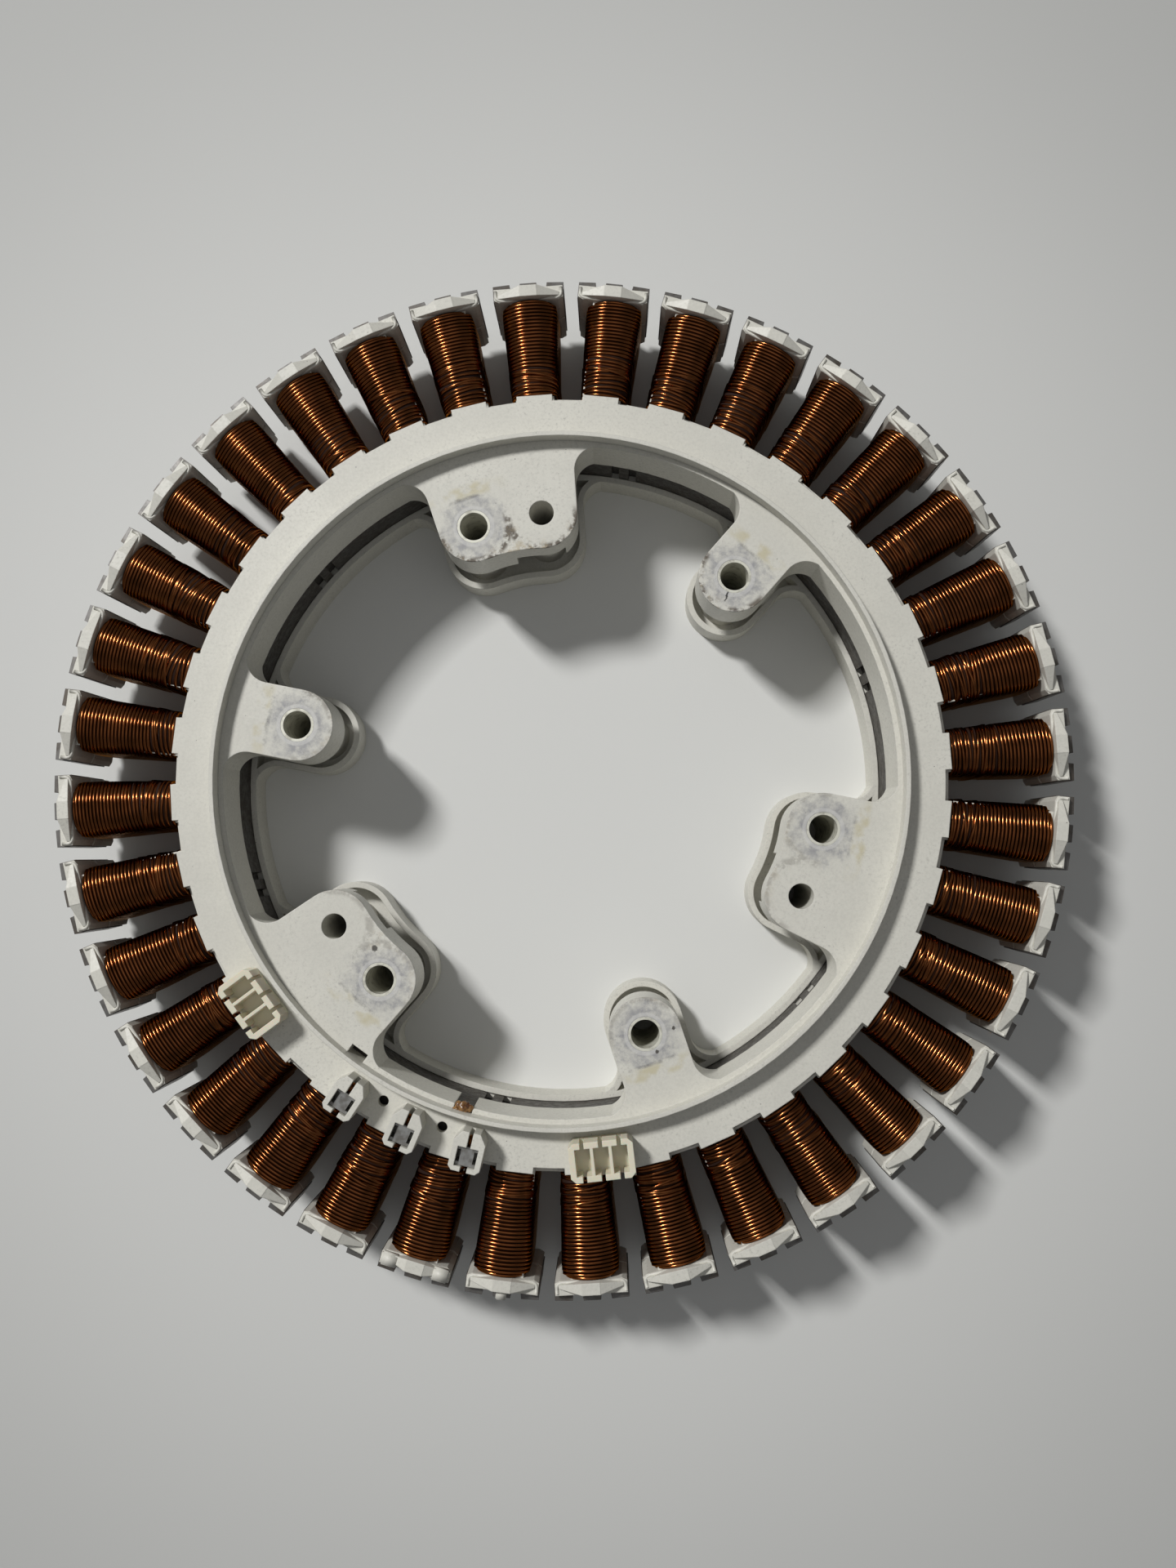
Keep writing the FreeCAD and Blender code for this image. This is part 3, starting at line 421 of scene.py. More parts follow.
def stain_lugs(shader, colour, x, y, z, ragged):
    """Colours of the lugs' faces: rubbed metal, yellow tide marks, dirt and one crack."""
    radius = shader.hypotenuse(x, y)
    angle = shader.math("ARCTAN2", y, x)
    along, across, distance = around_holes(shader, angle, radius, FIRST_BOLT, BOLT_SPACING)
    face = shader.times(shader.ramp(z, LUG_FACE - 1.0 * MM, LUG_FACE - 0.2 * MM),
                        shader.ramp(z, LUG_FACE + 0.6 * MM, LUG_FACE + 0.3 * MM))
    edge = shader.add(radius, shader.times(ragged, 1.2 * MM))
    colour = rub_seats(shader, colour, distance, edge, face, ragged)
    colour = mark_tides(shader, colour, across, edge, face)

    pin_distance = around_holes(shader, angle, radius, FIRST_PIN, PIN_SPACING)[2]
    rounding = shader.math("MINIMUM", distance, pin_distance)
    colour = soil_lips(shader, colour, rounding, radius, y, face)
    return crack_first_lug(shader, colour, along, across, angle, face, ragged)


def rub_seats(shader, colour, distance, edge, face, ragged):
    """Metal smeared round the bolt holes, as far as the flange that the lugs were bolted to."""
    moulding = settings().moulding
    frayed = shader.add(distance, shader.times(ragged, 16 * MM))
    near = shader.ramp(frayed, moulding.smear_radius, moulding.smear_radius * 0.35)
    seated = shader.ramp(edge, moulding.seat_radius + 0.4 * MM, moulding.seat_radius)
    streaks = shader.ramp(shader.noise(520.0, 4.0, 0.65), 0.36, 0.6, 0.45, 0.95)
    rubbed = shader.times(near, seated, streaks, face, 0.78)
    colour = shader.mix(rubbed, colour, moulding.smear)
    line = shader.band(edge, moulding.seat_radius, 0.25 * MM, 0.5 * MM)
    colour = shader.mix(shader.times(line, near, face, 0.55), colour, moulding.dirt)
    burnish = shader.times(shader.band(distance, BRIGHT_RING, 0.35 * MM, 0.4 * MM), face, 0.5)
    return shader.mix(burnish, colour, BURNISHED)


def mark_tides(shader, colour, across, edge, face):
    """Yellow tide marks just outside the flange's edge."""
    moulding = settings().moulding
    tide = shader.band(edge, moulding.seat_radius + TIDE_OFFSET, 0.8 * MM, 1.6 * MM)
    wide = shader.ramp(shader.math("ABSOLUTE", across), TIDE_REACH, 3 * MM)
    patches = shader.ramp(shader.noise(210.0, 3.0), 0.42, 0.62)
    return shader.mix(shader.times(tide, wide, face, patches, 0.75), colour, moulding.yellowing)


def soil_lips(shader, colour, rounding, radius, y, face):
    """Grime along the ends of the lugs, round bolt holes and locating holes alike.

    It is thickest on the side of the first lug."""
    dirty = shader.ramp(y, 5 * MM, 50 * MM, 0.35, 1.0)
    lip = shader.times(shader.band(rounding, LUG_END, 0.45 * MM, 1.1 * MM),
                       shader.ramp(radius, 71 * MM, 68 * MM))
    grime = shader.ramp(shader.noise(300.0, 5.0, 0.72), 0.42, 0.56)
    colour = shader.mix(shader.times(lip, face, grime, dirty, 0.9), colour, OLD_GREASE)
    run_off = shader.times(shader.ramp(rounding, 6.0 * MM, 9.0 * MM),
                           shader.ramp(radius, 69 * MM, 63 * MM))
    drips = shader.ramp(shader.noise(260.0, 5.0, 0.72), 0.53, 0.63)
    return shader.mix(shader.times(run_off, drips, face, dirty, 0.45), colour, RUSTY_WATER)


def crack_first_lug(shader, colour, along, across, angle, face, ragged):
    """A crack in the first lug, from its hole towards its end."""
    this_lug = shader.ramp(shader.math("ABSOLUTE", shader.less(angle, FIRST_BOLT)), 0.2, 0.18)
    course = shader.less(across, shader.add(shader.times(along, 0.37), 0.12 * MM))
    course = shader.math("ABSOLUTE", shader.add(course, shader.times(ragged, 2.5 * MM)))
    crack = shader.times(shader.ramp(course, 0.3 * MM, 0.12 * MM),
                         shader.ramp(along, CRACK_START, CRACK_START - 0.3 * MM),
                         shader.ramp(along, CRACK_END, CRACK_END + 0.6 * MM), this_lug, face)
    return shader.mix(shader.times(crack, 0.95), colour, CRACK)


def steel_material():
    """Stacked laminations: fine sheet edges on the sides, brown film, and painted shade that
    darkens the bore.
    """
    metal = settings().metal
    shader = Shader("laminated_steel")
    x, y, z = shader.split(shader.place)
    sheets = shader.math("FRACT", shader.math("DIVIDE", z, metal.lamination))
    seam = shader.ramp(shader.math("ABSOLUTE", shader.less(sheets, 0.5)), 0.32, 0.5)
    film = shader.ramp(shader.noise(120.0, 5.0, 0.65), 0.4, 0.65)
    colour = shader.mix(film, metal.steel, metal.oxide)
    colour = shader.mix(shader.times(seam, 0.55), colour, SHEET_SEAM)
    # Painted shade: the steel is darkened towards the bore.
    bore_shade = shader.ramp(shader.hypotenuse(x, y), 100 * MM, 94 * MM, 0.0, 0.8)
    colour = shader.mix(bore_shade, colour, BORE_SHADE)
    rough = shader.ramp(shader.noise(700.0, 3.0), 0.3, 0.7, 0.35, 0.55)
    shader.bump(seam, -0.08 * MM, 0.7, edge=0.15 * MM)
    return shader.set(Base_Color=colour, Metallic=0.55, Roughness=rough)


def bush_material():
    """Dull turned steel with dark grime."""
    shader = Shader("bush_steel")
    grime = shader.ramp(shader.noise(420.0, 4.0, 0.6), 0.45, 0.7)
    colour = shader.mix(shader.times(grime, 0.5), settings().metal.bush, BUSH_GRIME)
    shader.bump(shader.noise(2400.0, 2.0), 0.02 * MM, 0.4, edge=0.15 * MM)
    return shader.set(Base_Color=colour, Metallic=0.3, Roughness=0.55)


def terminal_material():
    """Tin-plated sheet with sheared edges."""
    shader = Shader("tinned_terminal")
    wear = shader.noise(600.0, 3.0)
    colour = shader.mix(shader.ramp(wear, 0.35, 0.7), settings().metal.tin, WORN_TIN)
    shader.bump(wear, 0.02 * MM, 0.4, edge=0.12 * MM)
    return shader.set(Base_Color=colour, Metallic=0.6, Roughness=0.4)


def nylon_material():
    """Natural nylon that lets a little light through."""
    nylon = settings().moulding.nylon
    shader = Shader("natural_nylon")
    cloud = shader.noise(220.0, 3.0)
    lighter = [min(1.0, channel * 1.12) for channel in nylon]
    colour = shader.mix(cloud, nylon, lighter)
    shader.bump(shader.noise(1800.0, 2.0), 0.02 * MM, 0.3, edge=0.25 * MM)
    return shader.set(Base_Color=colour, Roughness=0.34, Subsurface_Weight=0.25,
                      Subsurface_Scale=2 * MM)


def glue_material():
    """Old brown adhesive, dark where it is thick."""
    shader = Shader("old_adhesive")
    cloud = shader.ramp(shader.noise(700.0, 4.0, 0.6), 0.35, 0.62)
    colour = shader.mix(cloud, THICK_GLUE, THIN_GLUE)
    shader.bump(shader.noise(1300.0, 3.0), 0.15 * MM, 0.6)
    return shader.set(Base_Color=colour, Roughness=0.28, Coat_Weight=0.4)


# ------------------------------------------------------------------------------------------
# Mesh helpers
# ------------------------------------------------------------------------------------------
# Sides of a turn of wire, and of a rounder rod that is seen from close by.
WIRE_SIDES, ROUND_SIDES = 6, 8


def tube(points, closed, radius, sides=WIRE_SIDES, across=(1.0, 0.0, 0.0)):
    """Vertices and faces of a wire along points. No part of it runs along the given axis."""
    line = np.array(points)
    if closed:
        ahead, behind = np.roll(line, -1, axis=0), np.roll(line, 1, axis=0)
    else:
        ahead = np.vstack([line[1:], line[-1:]])
        behind = np.vstack([line[:1], line[:-1]])
    tangent = ahead - behind
    tangent /= np.linalg.norm(tangent, axis=1)[:, None]
    axis = np.array(across)
    first = axis - tangent * (tangent @ axis)[:, None]
    first /= np.linalg.norm(first, axis=1)[:, None]
    second = np.cross(tangent, first)
    angles = (np.arange(sides) * 2 * math.pi / sides)[None, :, None]
    ring = first[:, None] * np.cos(angles) + second[:, None] * np.sin(angles)
    vertices = (line[:, None] + radius * ring).reshape(-1, 3)
    count = len(line)
    faces = []
    for row in range(count if closed else count - 1):
        this, following = row * sides, (row + 1) % count * sides
        for side in range(sides):
            nearby = (side + 1) % sides
            faces.append((this + side, following + side, following + nearby, this + nearby))
    if not closed:
        faces.append(tuple(reversed(range(sides))))
        faces.append(tuple(range((count - 1) * sides, count * sides)))
    return vertices, faces


def rounded_box(low, high, edge):
    """Vertices and faces of a block with rounded edges."""
    builder = bmesh.new()
    bmesh.ops.create_cube(builder, size=1.0)
    for vertex in builder.verts:
        vertex.co = [(a + b) / 2 + side * (b - a) for a, b, side in zip(low, high, vertex.co)]
    bmesh.ops.bevel(builder, geom=builder.edges[:], offset=edge, segments=2, affect="EDGES")
    builder.verts.index_update()
    vertices = np.array([tuple(vertex.co) for vertex in builder.verts])
    faces = [tuple(vertex.index for vertex in face.verts) for face in builder.faces]
    builder.free()
    return vertices, faces


def turned(block, degrees):
    """The block turned about the stator's axis."""
    vertices, faces = block
    angle = math.radians(degrees)
    turn = np.array([[math.cos(angle), -math.sin(angle), 0.0],
                     [math.sin(angle), math.cos(angle), 0.0], [0.0, 0.0, 1.0]])
    return vertices @ turn.T, faces


def make_piece(name, blocks, materials, replaced=()):
    """One piece from blocks of vertices, faces and a material's number."""
    vertices, faces, numbers = [], [], []
    start = 0
    for points, polygons, number in blocks:
        vertices.append(points)
        faces += [tuple(start + index for index in polygon) for polygon in polygons]
        numbers += [number] * len(polygons)
        start += len(points)
    mesh = bpy.data.meshes.new(name)
    mesh.from_pydata(np.vstack(vertices).tolist(), [], faces)
    for material in materials:
        mesh.materials.append(material)
    mesh.polygons.foreach_set("material_index", numbers)
    mesh.polygons.foreach_set("use_smooth", [True] * len(faces))
    mesh.update()
    piece = bpy.data.objects.new(name, mesh)
    bpy.context.scene.collection.objects.link(piece)
    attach(piece, "root")
    if replaced:
        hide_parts(*replaced)
    return piece


# ------------------------------------------------------------------------------------------
# Windings
# ------------------------------------------------------------------------------------------
TURN_POINTS = 40
UNDER_ROWS = 10
# How much narrower and lower a coil is at the end of its shoulder.
TIP_DRAW, TIP_DROP = 1.0 * MM, 0.6 * MM
# Share of the coil's length, from the yoke, in which the turns lie loosely.
LEAST_LOOSE, MOST_LOOSE = 0.22, 0.5
# How far a loose turn sinks, and how far it strays along the tooth.
SAG, WANDER = 0.1 * MM, 0.05 * MM
# How far a turn that crosses the others is lifted and strays.
CROSSING_LIFT, CROSSING_WANDER = 0.16 * MM, 0.08 * MM
# Least and most slant of such a turn, in millimetres.
CROSSING_SLANT = (0.9, 2.2)
# Depth of the inner layers' form below the middle of the outer wire.
UNDER_DEPTH = 0.06 * MM
# A turn runs straight up the coil's side until the sine of its angle is this.
SIDE_SINE = 0.3
# A coil comes to its full width this much sooner than at its tip.
WIDENING = 1.15
# Turns get neat over this share of the coil's length, and this much looseness stays in them.
NEATENING, LEAST_LOOSENESS, NEAT_SAG = 0.2, 0.06, 0.12
# A turn keeps this share of the slant of the turn before it, and slants are drawn larger.
SLANT_KEPT, SLANT_GAIN = 0.75, 1.6
# How much closer or farther than a pitch the next loose turn may lie, in pitches.
CLOSER, FARTHER = -0.18, 0.3
# Nearest place to the yoke at which a turn crosses the others, as a share of the length.
FIRST_CROSSING = 0.06


def coil_section(angle, half_width, half_height, crown):
    """Point of a turn's outline: straight sides under a crowned top and bottom."""
    side, up = math.cos(angle), math.sin(angle)
    flat = half_height - crown
    lift = crown * abs(up) + flat * min(1.0, abs(up) / SIDE_SINE)
    return half_width * side, math.copysign(lift, up)


def wire_reach():
    """Where the first and the last turn lie along the tooth."""
    radius = settings().winding.wire_diameter / 2
    return COIL_LOW.x + radius, COIL_HIGH.x - radius


def half_width_at(reach):
    """Half the width of a coil's wire centres at a distance along the tooth."""
    winding = settings().winding
    inner, outer = wire_reach()
    narrow = (winding.yoke_width - winding.wire_diameter) / 2
    wide = COIL_HIGH.y - winding.wire_diameter / 2
    return narrow + (wide - narrow) * min(1.0, (reach - inner) / (outer - inner) * WIDENING)


def drawn_in(reach):
    """How far the coil is drawn in where it rounds off at its tip, from 0 to 1."""
    left = (wire_reach()[1] - reach) / settings().winding.shoulder
    return 0.0 if left >= 1.0 else 1.0 - math.sqrt(max(0.0, 1.0 - (1.0 - left) ** 2))


def turn_points(reach, slant, lift, wander, chance, step=0.0):
    """Centre line of one turn. Slant is how much further out it lies on one side than the
    other, lift raises it off the layer below, and step is its advance along the tooth."""
    winding = settings().winding
    inner, outer = wire_reach()
    half_width = half_width_at(reach) - TIP_DRAW * drawn_in(reach) + lift
    half_height = (COIL_HIGH.z - COIL_LOW.z - winding.wire_diameter) / 2 + lift
    half_height -= TIP_DROP * drawn_in(reach)
    waves = [chance.uniform(-wander, wander) for _ in range(3)]
    points = []
    for index in range(TURN_POINTS):
        share = index / TURN_POINTS
        angle = 2 * math.pi * share - math.pi / 2
        across, up = coil_section(angle, half_width, half_height, winding.crown)
        drift = sum(wave * math.sin((number + 1) * angle + number)
                    for number, wave in enumerate(waves))
        along = reach + step * (share - 0.5) + slant / 2 * math.cos(angle) + drift
        points.append((min(max(along, inner), outer), across, up))
    return points


def turn_plan(chance):
    """Reach and slant of each turn: neat near the tip, and looser towards the yoke."""
    winding = settings().winding
    inner, outer = wire_reach()
    untidy = chance.uniform(LEAST_LOOSE, MOST_LOOSE)
    slant, slants, places = 0.0, [], [0.0]
    for turn in range(winding.turns):
        share = turn / (winding.turns - 1)
        loose = (untidy + NEATENING / 2 - share) / NEATENING
        loose = min(1.0, max(LEAST_LOOSENESS, loose))
        slant = SLANT_KEPT * slant + chance.gauss(0.0, winding.looseness)
        slants.append(slant * loose * SLANT_GAIN)
        places.append(places[-1] + 1.0 + loose * chance.uniform(CLOSER, FARTHER))
    reaches = [inner + (outer - inner) * place / places[-2] for place in places[:-1]]
    return reaches, slants, untidy


def wound_layer(chance):
    """Centre line of the outer layer, one turn after another, and the turns that cross it."""
    winding = settings().winding
    inner, outer = wire_reach()
    reaches, slants, untidy = turn_plan(chance)
    pitch = (outer - inner) / (winding.turns - 1)
    line = []
    for reach, slant in zip(reaches, slants):
        loose = 1.0 if (reach - inner) / (outer - inner) < untidy else NEAT_SAG
        sag = -abs(chance.gauss(0.0, SAG)) * loose
        line += turn_points(reach, slant, sag, WANDER * loose, chance, pitch)
    crossing = []
    for _ in range(chance.randint(1, 3)):
        share = chance.uniform(FIRST_CROSSING, untidy + FIRST_CROSSING)
        reach = inner + (outer - inner) * share
        slant = chance.choice((-1, 1)) * chance.uniform(*CROSSING_SLANT) * MM
        crossing.append(turn_points(reach, slant, CROSSING_LIFT, CROSSING_WANDER, chance))
    return line, crossing


def under_body(chance):
    """Closed form of the inner layers, on which the outer turns lie half sunk."""
    inner, outer = wire_reach()
    vertices, faces = [], []
    for row in range(UNDER_ROWS):
        reach = inner + (outer - inner) * row / (UNDER_ROWS - 1)
        points = turn_points(reach, 0.0, -UNDER_DEPTH, 0.0, chance)
        vertices += [(reach, across, up) for _, across, up in points]
    last = (UNDER_ROWS - 1) * TURN_POINTS
    for base in range(0, last, TURN_POINTS):
        above = base + TURN_POINTS
        for this in range(TURN_POINTS):
            nearby = (this + 1) % TURN_POINTS
            faces.append((base + this, above + this, above + nearby, base + nearby))
    faces.append(tuple(range(TURN_POINTS)))
    faces.append(tuple(reversed(range(last, last + TURN_POINTS))))
    return np.array(vertices), faces


def wind_coil(number, name, copper, shaded_inner_layers):
    """One wound coil, turned into place on its tooth."""
    winding = settings().winding
    chance = random.Random(winding.seed * 1000 + number)
    line, crossing = wound_layer(chance)
    radius = winding.wire_diameter / 2
    blocks = [(*tube(line, False, radius), 0)]
    blocks += [(*tube(turn, True, radius), 0) for turn in crossing]
    # The inner layers get a near-black colour, painted shade for the gaps between the turns.
    blocks.append((*under_body(chance), 1))
    coil = make_piece(f"wound_{name}", blocks, [copper, shaded_inner_layers], [name])
    low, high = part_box(name)
    middle = (low + high) / 2
    turn = Matrix.Rotation(math.atan2(middle.y, middle.x), 4, "Z")
    coil.data.transform(Matrix.Translation((0, 0, COIL_MIDDLE)) @ turn)


# ------------------------------------------------------------------------------------------
# Small mouldings, leads and glue
# ------------------------------------------------------------------------------------------
# Angles of the two odd teeth, in degrees.
PADDED_TOOTH, PEGGED_TOOTH = 250, 260

# The coils end this far short of the tip flanges.
FLANGE_GAP = 0.6 * MM
# A bead starts beside the tooth's middle, and stops short of the flange's outer edge.
RIM_START, RIM_STOP = 2.5 * MM, 0.5 * MM
# Rounded corner of a bead, in millimetres: out from the flange's back, and in from its side.
RIM_CORNER = ((0.0, 1.3), (0.25, 0.6), (0.7, 0.15), (1.3, 0.0))
# Pads and the peg are sunk this far into their flange.
SUNK = 0.1 * MM
PAD_START, PAD_HEIGHT, PAD_ROUNDING = 4.4 * MM, 2.1 * MM, 0.4 * MM
PEG_HALF_WIDTH, PEG_HEIGHT, PEG_ROUNDING = 1.3 * MM, 1.9 * MM, 0.25 * MM
# How far the peg reaches in and out from the flange's outer edge.
PEG_BACK, PEG_FRONT = 1.2 * MM, 1.6 * MM

# Lumps of adhesive, in millimetres and degrees: distance from the axis, angle and radius.
GLUE_LUMPS = (
    (86.6, 250.4, 1.7), (87.7, 249.4, 1.2), (87.9, 250.9, 1.3),
    (86.3, 251.3, 1.1), (88.2, 252.0, 0.8), (86.2, 249.5, 0.9),
)
GLUE_SEED = 7
# How fine the bulges of a lump are, how far they stand out, and how flat the lump lies.
GLUE_FINENESS, GLUE_BULGE, GLUE_FLATNESS = 900, 0.3, 0.75

# Course of a lead, in millimetres: out from its terminal, and up from the terminal's top.
LEAD_COURSE = ((-1.2, -1.6), (-2.6, -1.1), (-4.2, -0.4), (-5.3, 0.2))
LEAD_RADIUS = 0.4 * MM


def rim_path(side, height):
    """Course of the bead on one half of a tip flange: along the coil, then out to the tip."""
    moulding = settings().moulding
    back = COIL_HIGH.x + FLANGE_GAP
    edge = moulding.flange_width / 2 - moulding.rim
    corner = [(back + out * MM, edge - inward * MM) for out, inward in RIM_CORNER]
    course = [(back, RIM_START), *corner, (FLANGE_EDGE - RIM_STOP, edge)]
    return [(reach, side * across, height) for reach, across in course]


def make_rims(name, height, material):
    """Beads round all the tip flanges of one insulator."""
    radius = settings().moulding.rim
    blocks = []
    for tooth in range(len(COILS)):
        for side in (1, -1):
            bead = tube(rim_path(side, height), False, radius, ROUND_SIDES, (0.0, 0.0, 1.0))
            blocks.append((*turned(bead, tooth * 360 / len(COILS)), 0))
    make_piece(name, blocks, [material])


def make_odd_teeth(material):
    """Pads in the corners of one tip flange, and a peg on the next one."""
    moulding = settings().moulding
    plate = CORE_HIGH.z + moulding.flange_thickness - SUNK
    edge = moulding.flange_width / 2 - 0.25 * MM
    blocks = []
    for side in (1, -1):
        ends = sorted((side * PAD_START, side * edge))
        low = (COIL_HIGH.x + 0.35 * MM, ends[0], plate)
        high = (FLANGE_EDGE - 0.2 * MM, ends[1], plate + PAD_HEIGHT)
        pad = rounded_box(low, high, PAD_ROUNDING)
        blocks.append((*turned(pad, PADDED_TOOTH), 0))
    make_piece("corner_pads", blocks, [material])
    low = (FLANGE_EDGE - PEG_BACK, -PEG_HALF_WIDTH, plate)
    high = (FLANGE_EDGE + PEG_FRONT, PEG_HALF_WIDTH, plate + PEG_HEIGHT)
    peg = turned(rounded_box(low, high, PEG_ROUNDING), PEGGED_TOOTH)
    make_piece("tooth_peg", [(*peg, 0)], [material])


def make_leads(copper):
    """Wire ends that come out of the slot of each terminal pocket."""
    for number, name in enumerate(TERMINALS, start=1):
        low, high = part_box(name)
        middle = (low + high) / 2
        centre = math.hypot(middle.x, middle.y)
        points = [(centre + out * MM, 0.0, high.z + up * MM) for out, up in LEAD_COURSE]
        wire = tube(points, False, LEAD_RADIUS, ROUND_SIDES, (0.0, 1.0, 0.0))
        turn = math.degrees(math.atan2(middle.y, middle.x))
        make_piece(f"lead_{number}", [(*turned(wire, turn), 0)], [copper])


def make_glue(material):
    """Lumps of adhesive left in the second clip slot."""
    chance = random.Random(GLUE_SEED)
    blocks = []
    for reach, turn, size in GLUE_LUMPS:
        builder = bmesh.new()
        bmesh.ops.create_icosphere(builder, subdivisions=4, radius=size * MM)
        shift = Vector([chance.uniform(0, 9) for _ in range(3)])
        for vertex in builder.verts:
            bulge = noise.fractal(vertex.co * GLUE_FINENESS + shift, 1.0, 2.0, 3)
            vertex.co *= 1.0 + GLUE_BULGE * bulge
            vertex.co.z *= GLUE_FLATNESS
        builder.verts.index_update()
        middle = Vector((reach * MM, 0.0, LUG_FACE - 0.3 * MM))
        points = np.array([tuple(vertex.co + middle) for vertex in builder.verts])
        faces = [tuple(vertex.index for vertex in face.verts) for face in builder.faces]
        builder.free()
        blocks.append((*turned((points, faces), turn), 0))
    make_piece("clip_slot_glue", blocks, [material])


# ------------------------------------------------------------------------------------------
# Stage
# ------------------------------------------------------------------------------------------
KEY_PLACE, KEY_SIZE = (-1.40, 1.50, 2.25), (0.34, 0.50)
FILL_PLACE, FILL_SIZE = (0.1, -0.1, 1.6), (1.3, 1.3)
ROOM_LIGHT = (0.95, 0.97, 1.0, 1.0)
# Painted pool of light: the floor is painted a little lighter round the stator. Distance from
# the axis and level.
LIGHT_POOL_MIDDLE, LIGHT_POOL_EDGE = (0.08, 1.12), (0.32, 0.74)


def lay_floor():
    """Pale painted floor, large enough to fill every view, with a painted pool of light round
    the stator.
    """
    stage = settings().stage
    mesh = bpy.data.meshes.new("floor")
    builder = bmesh.new()
    bmesh.ops.create_grid(builder, x_segments=1, y_segments=1, size=stage.floor_size / 2)
    builder.to_mesh(mesh)
    builder.free()
    floor = bpy.data.objects.new("floor", mesh)
    bpy.context.scene.collection.objects.link(floor)
    shader = Shader("painted_floor")
    cloud = shader.noise(3.0, 2.0)
    lighter = [min(1.0, channel * 1.08) for channel in stage.floor]
    colour = shader.mix(cloud, stage.floor, lighter)
    x, y, _ = shader.split(shader.place)
    (near, bright), (far, dim) = LIGHT_POOL_MIDDLE, LIGHT_POOL_EDGE
    # Painted pool of light: lighter near the axis and darker farther out.
    colour = shader.shade(colour, shader.ramp(shader.hypotenuse(x, y), near, far, bright, dim))
    shader.bump(shader.noise(300.0, 2.0), 0.02 * MM, 0.2)
    mesh.materials.append(shader.set(Base_Color=colour, Roughness=0.75, Specular_IOR_Level=0.25))


def lamp(name, place, size, power):
    """Rectangular area lamp that points at the stator."""
    light = bpy.data.lights.new(name, "AREA")
    light.shape = "RECTANGLE"
    light.size, light.size_y = size
    light.energy = power
    shown = bpy.data.objects.new(name, light)
    shown.location = place
    shown.rotation_euler = (-Vector(place)).to_track_quat("-Z", "Y").to_euler()
    bpy.context.scene.collection.objects.link(shown)


def set_world():
    """Faint even light from all round."""
    world = bpy.data.worlds.new("studio")
    world.use_nodes = True
    background = world.node_tree.nodes["Background"]
    background.inputs["Color"].default_value = ROOM_LIGHT
    background.inputs["Strength"].default_value = settings().stage.surroundings
    bpy.context.scene.world = world


def set_camera():
    """Camera that looks down on the stator, a little off its axis."""
    stage = settings().stage
    tilt, roll, turn = stage.camera_turn
    # The view turns the stator first, then rolls and tilts it.
    level = Matrix.Rotation(-tilt, 4, "X") @ Matrix.Rotation(-roll, 4, "Y")
    view = level @ Matrix.Rotation(-turn, 4, "Z")
    camera = bpy.data.objects.new("camera", bpy.data.cameras.new("camera"))
    camera.data.lens = stage.lens
    camera.data.sensor_width = 36.0
    camera.data.clip_start = 0.01
    camera.matrix_world = Matrix.Translation(stage.camera_place) @ view.inverted()
    bpy.context.scene.collection.objects.link(camera)
    bpy.context.scene.camera = camera
    bpy.context.scene.view_settings.view_transform = "Standard"


# ------------------------------------------------------------------------------------------
# Operators and panel
# ------------------------------------------------------------------------------------------
class STATOR_OT_core(bpy.types.Operator):
    """Finish the laminated core"""

    bl_idname = "stator.core"
    bl_label = "Core"

    def execute(self, context):
        dress(["core_stack"], steel_material())
        return {"FINISHED"}


class STATOR_OT_insulators(bpy.types.Operator):
    """Finish the two moulded insulators"""

    bl_idname = "stator.insulators"
    bl_label = "Insulators"

    def execute(self, context):
        dress(["upper_insulator", "lower_insulator"], insulator_material())
        return {"FINISHED"}


class STATOR_OT_tip_details(bpy.types.Operator):
    """Add the beads round the tip flanges, and the pads and the peg of two odd teeth"""

    bl_idname = "stator.tip_details"
    bl_label = "Tip details"

    def execute(self, context):
        plastic = NODES["upper_insulator"].material_slots[0].material
        plate = settings().moulding.flange_thickness
        make_rims("upper_tip_rims", CORE_HIGH.z + plate, plastic)
        make_rims("lower_tip_rims", CORE_LOW.z - plate, plastic)
        make_odd_teeth(plastic)
        return {"FINISHED"}


class STATOR_OT_adhesive(bpy.types.Operator):
    """Leave old adhesive in the second clip slot"""

    bl_idname = "stator.adhesive"
    bl_label = "Adhesive"

    def execute(self, context):
        make_glue(glue_material())
        return {"FINISHED"}


class STATOR_OT_windings(bpy.types.Operator):
    """Wind a coil on every tooth, and lead three wire ends to their terminals"""

    bl_idname = "stator.windings"
    bl_label = "Windings"

    def execute(self, context):
        copper, shaded_inner_layers = copper_material(), shaded_under_layer_material()
        for number, name in enumerate(COILS):
            wind_coil(number, name, copper, shaded_inner_layers)
        make_leads(copper)
        return {"FINISHED"}


class STATOR_OT_bushes(bpy.types.Operator):
    """Finish the steel bushes of the mounting lugs"""

    bl_idname = "stator.bushes"
    bl_label = "Bushes"

    def execute(self, context):
        dress(BUSHES, bush_material())
        return {"FINISHED"}


class STATOR_OT_connectors(bpy.types.Operator):
    """Finish the terminals and the three-pole housings"""

    bl_idname = "stator.connectors"
    bl_label = "Connectors"

    def execute(self, context):
        dress(TERMINALS, terminal_material())
        dress(HOUSINGS, nylon_material())
        return {"FINISHED"}


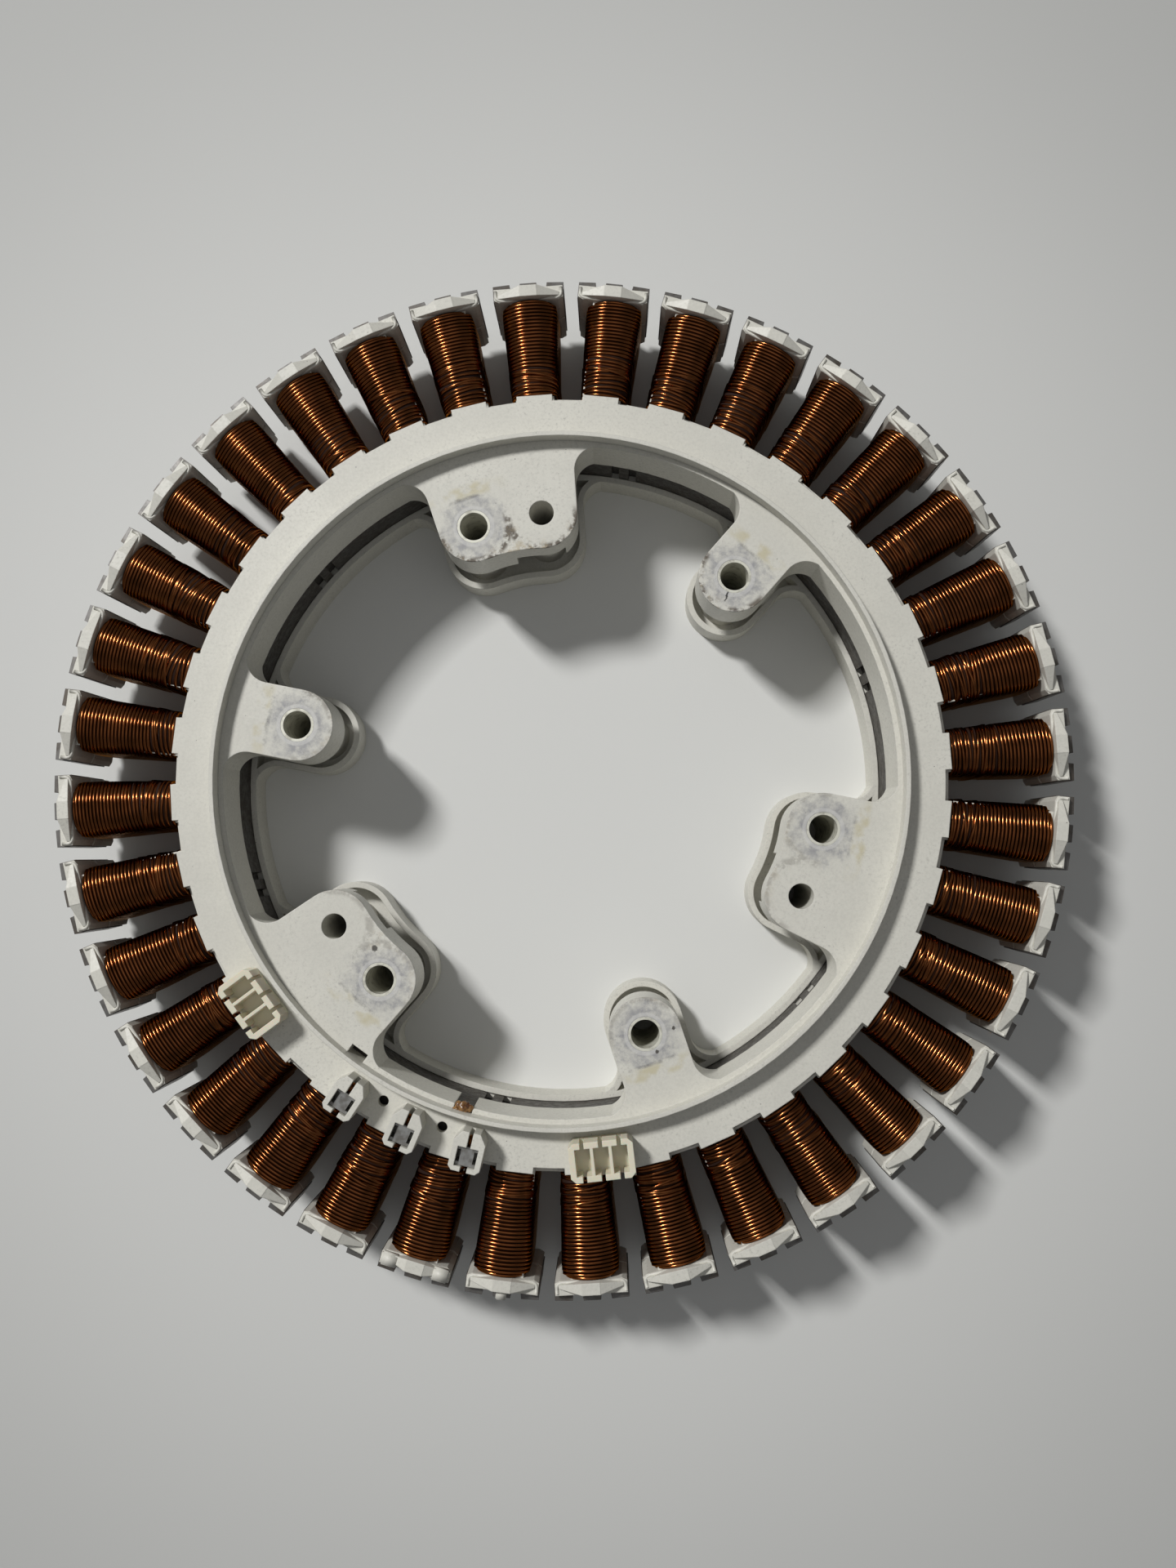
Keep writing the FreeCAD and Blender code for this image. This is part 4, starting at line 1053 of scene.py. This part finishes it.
class STATOR_OT_stage(bpy.types.Operator):
    """Lay the floor and set the lamps, the world and the camera"""

    bl_idname = "stator.stage"
    bl_label = "Stage"

    def execute(self, context):
        stage = settings().stage
        lay_floor()
        lamp("key", KEY_PLACE, KEY_SIZE, stage.key_power)
        lamp("overhead", FILL_PLACE, FILL_SIZE, stage.fill_power)
        set_world()
        set_camera()
        return {"FINISHED"}


class STATOR_PT_panel(bpy.types.Panel):
    """Builds the stator's finish step by step"""

    bl_idname = "STATOR_PT_panel"
    bl_label = "Stator"
    bl_space_type = "VIEW_3D"
    bl_region_type = "UI"
    bl_category = "Stator"

    def draw(self, context):
        for operator in OPERATORS:
            self.layout.operator(operator.bl_idname)
        for name in ("winding", "moulding", "metal", "stage"):
            group = getattr(context.scene.stator, name)
            for field in group.bl_rna.properties:
                if field.identifier not in {"rna_type", "name"}:
                    self.layout.prop(group, field.identifier)


class StatorSettings(bpy.types.PropertyGroup):
    """All the sizes and colours of the stator and its stage"""

    winding: PointerProperty(
        name="Windings", description="The coils and their wire", type=WindingSettings)
    moulding: PointerProperty(
        name="Mouldings", description="The insulators and housings", type=MouldingSettings)
    metal: PointerProperty(
        name="Metal", description="The core, the bushes and the terminals", type=MetalSettings)
    stage: PointerProperty(
        name="Stage", description="The floor, the lamps and the camera", type=StageSettings)


# The order in which the finish is built.
OPERATORS = (
    STATOR_OT_core,
    STATOR_OT_insulators,
    STATOR_OT_tip_details,
    STATOR_OT_adhesive,
    STATOR_OT_windings,
    STATOR_OT_bushes,
    STATOR_OT_connectors,
    STATOR_OT_stage,
)
CLASSES = (
    WindingSettings,
    MouldingSettings,
    MetalSettings,
    StageSettings,
    StatorSettings,
    *OPERATORS,
    STATOR_PT_panel,
)


def register():
    for cls in CLASSES:
        bpy.utils.register_class(cls)
    bpy.types.Scene.stator = PointerProperty(type=StatorSettings)


def unregister():
    del bpy.types.Scene.stator
    for cls in reversed(CLASSES):
        bpy.utils.unregister_class(cls)


def main():
    register()
    for operator in OPERATORS:
        group, name = operator.bl_idname.split(".")
        getattr(getattr(bpy.ops, group), name)()


if __name__ == "__main__":
    main()
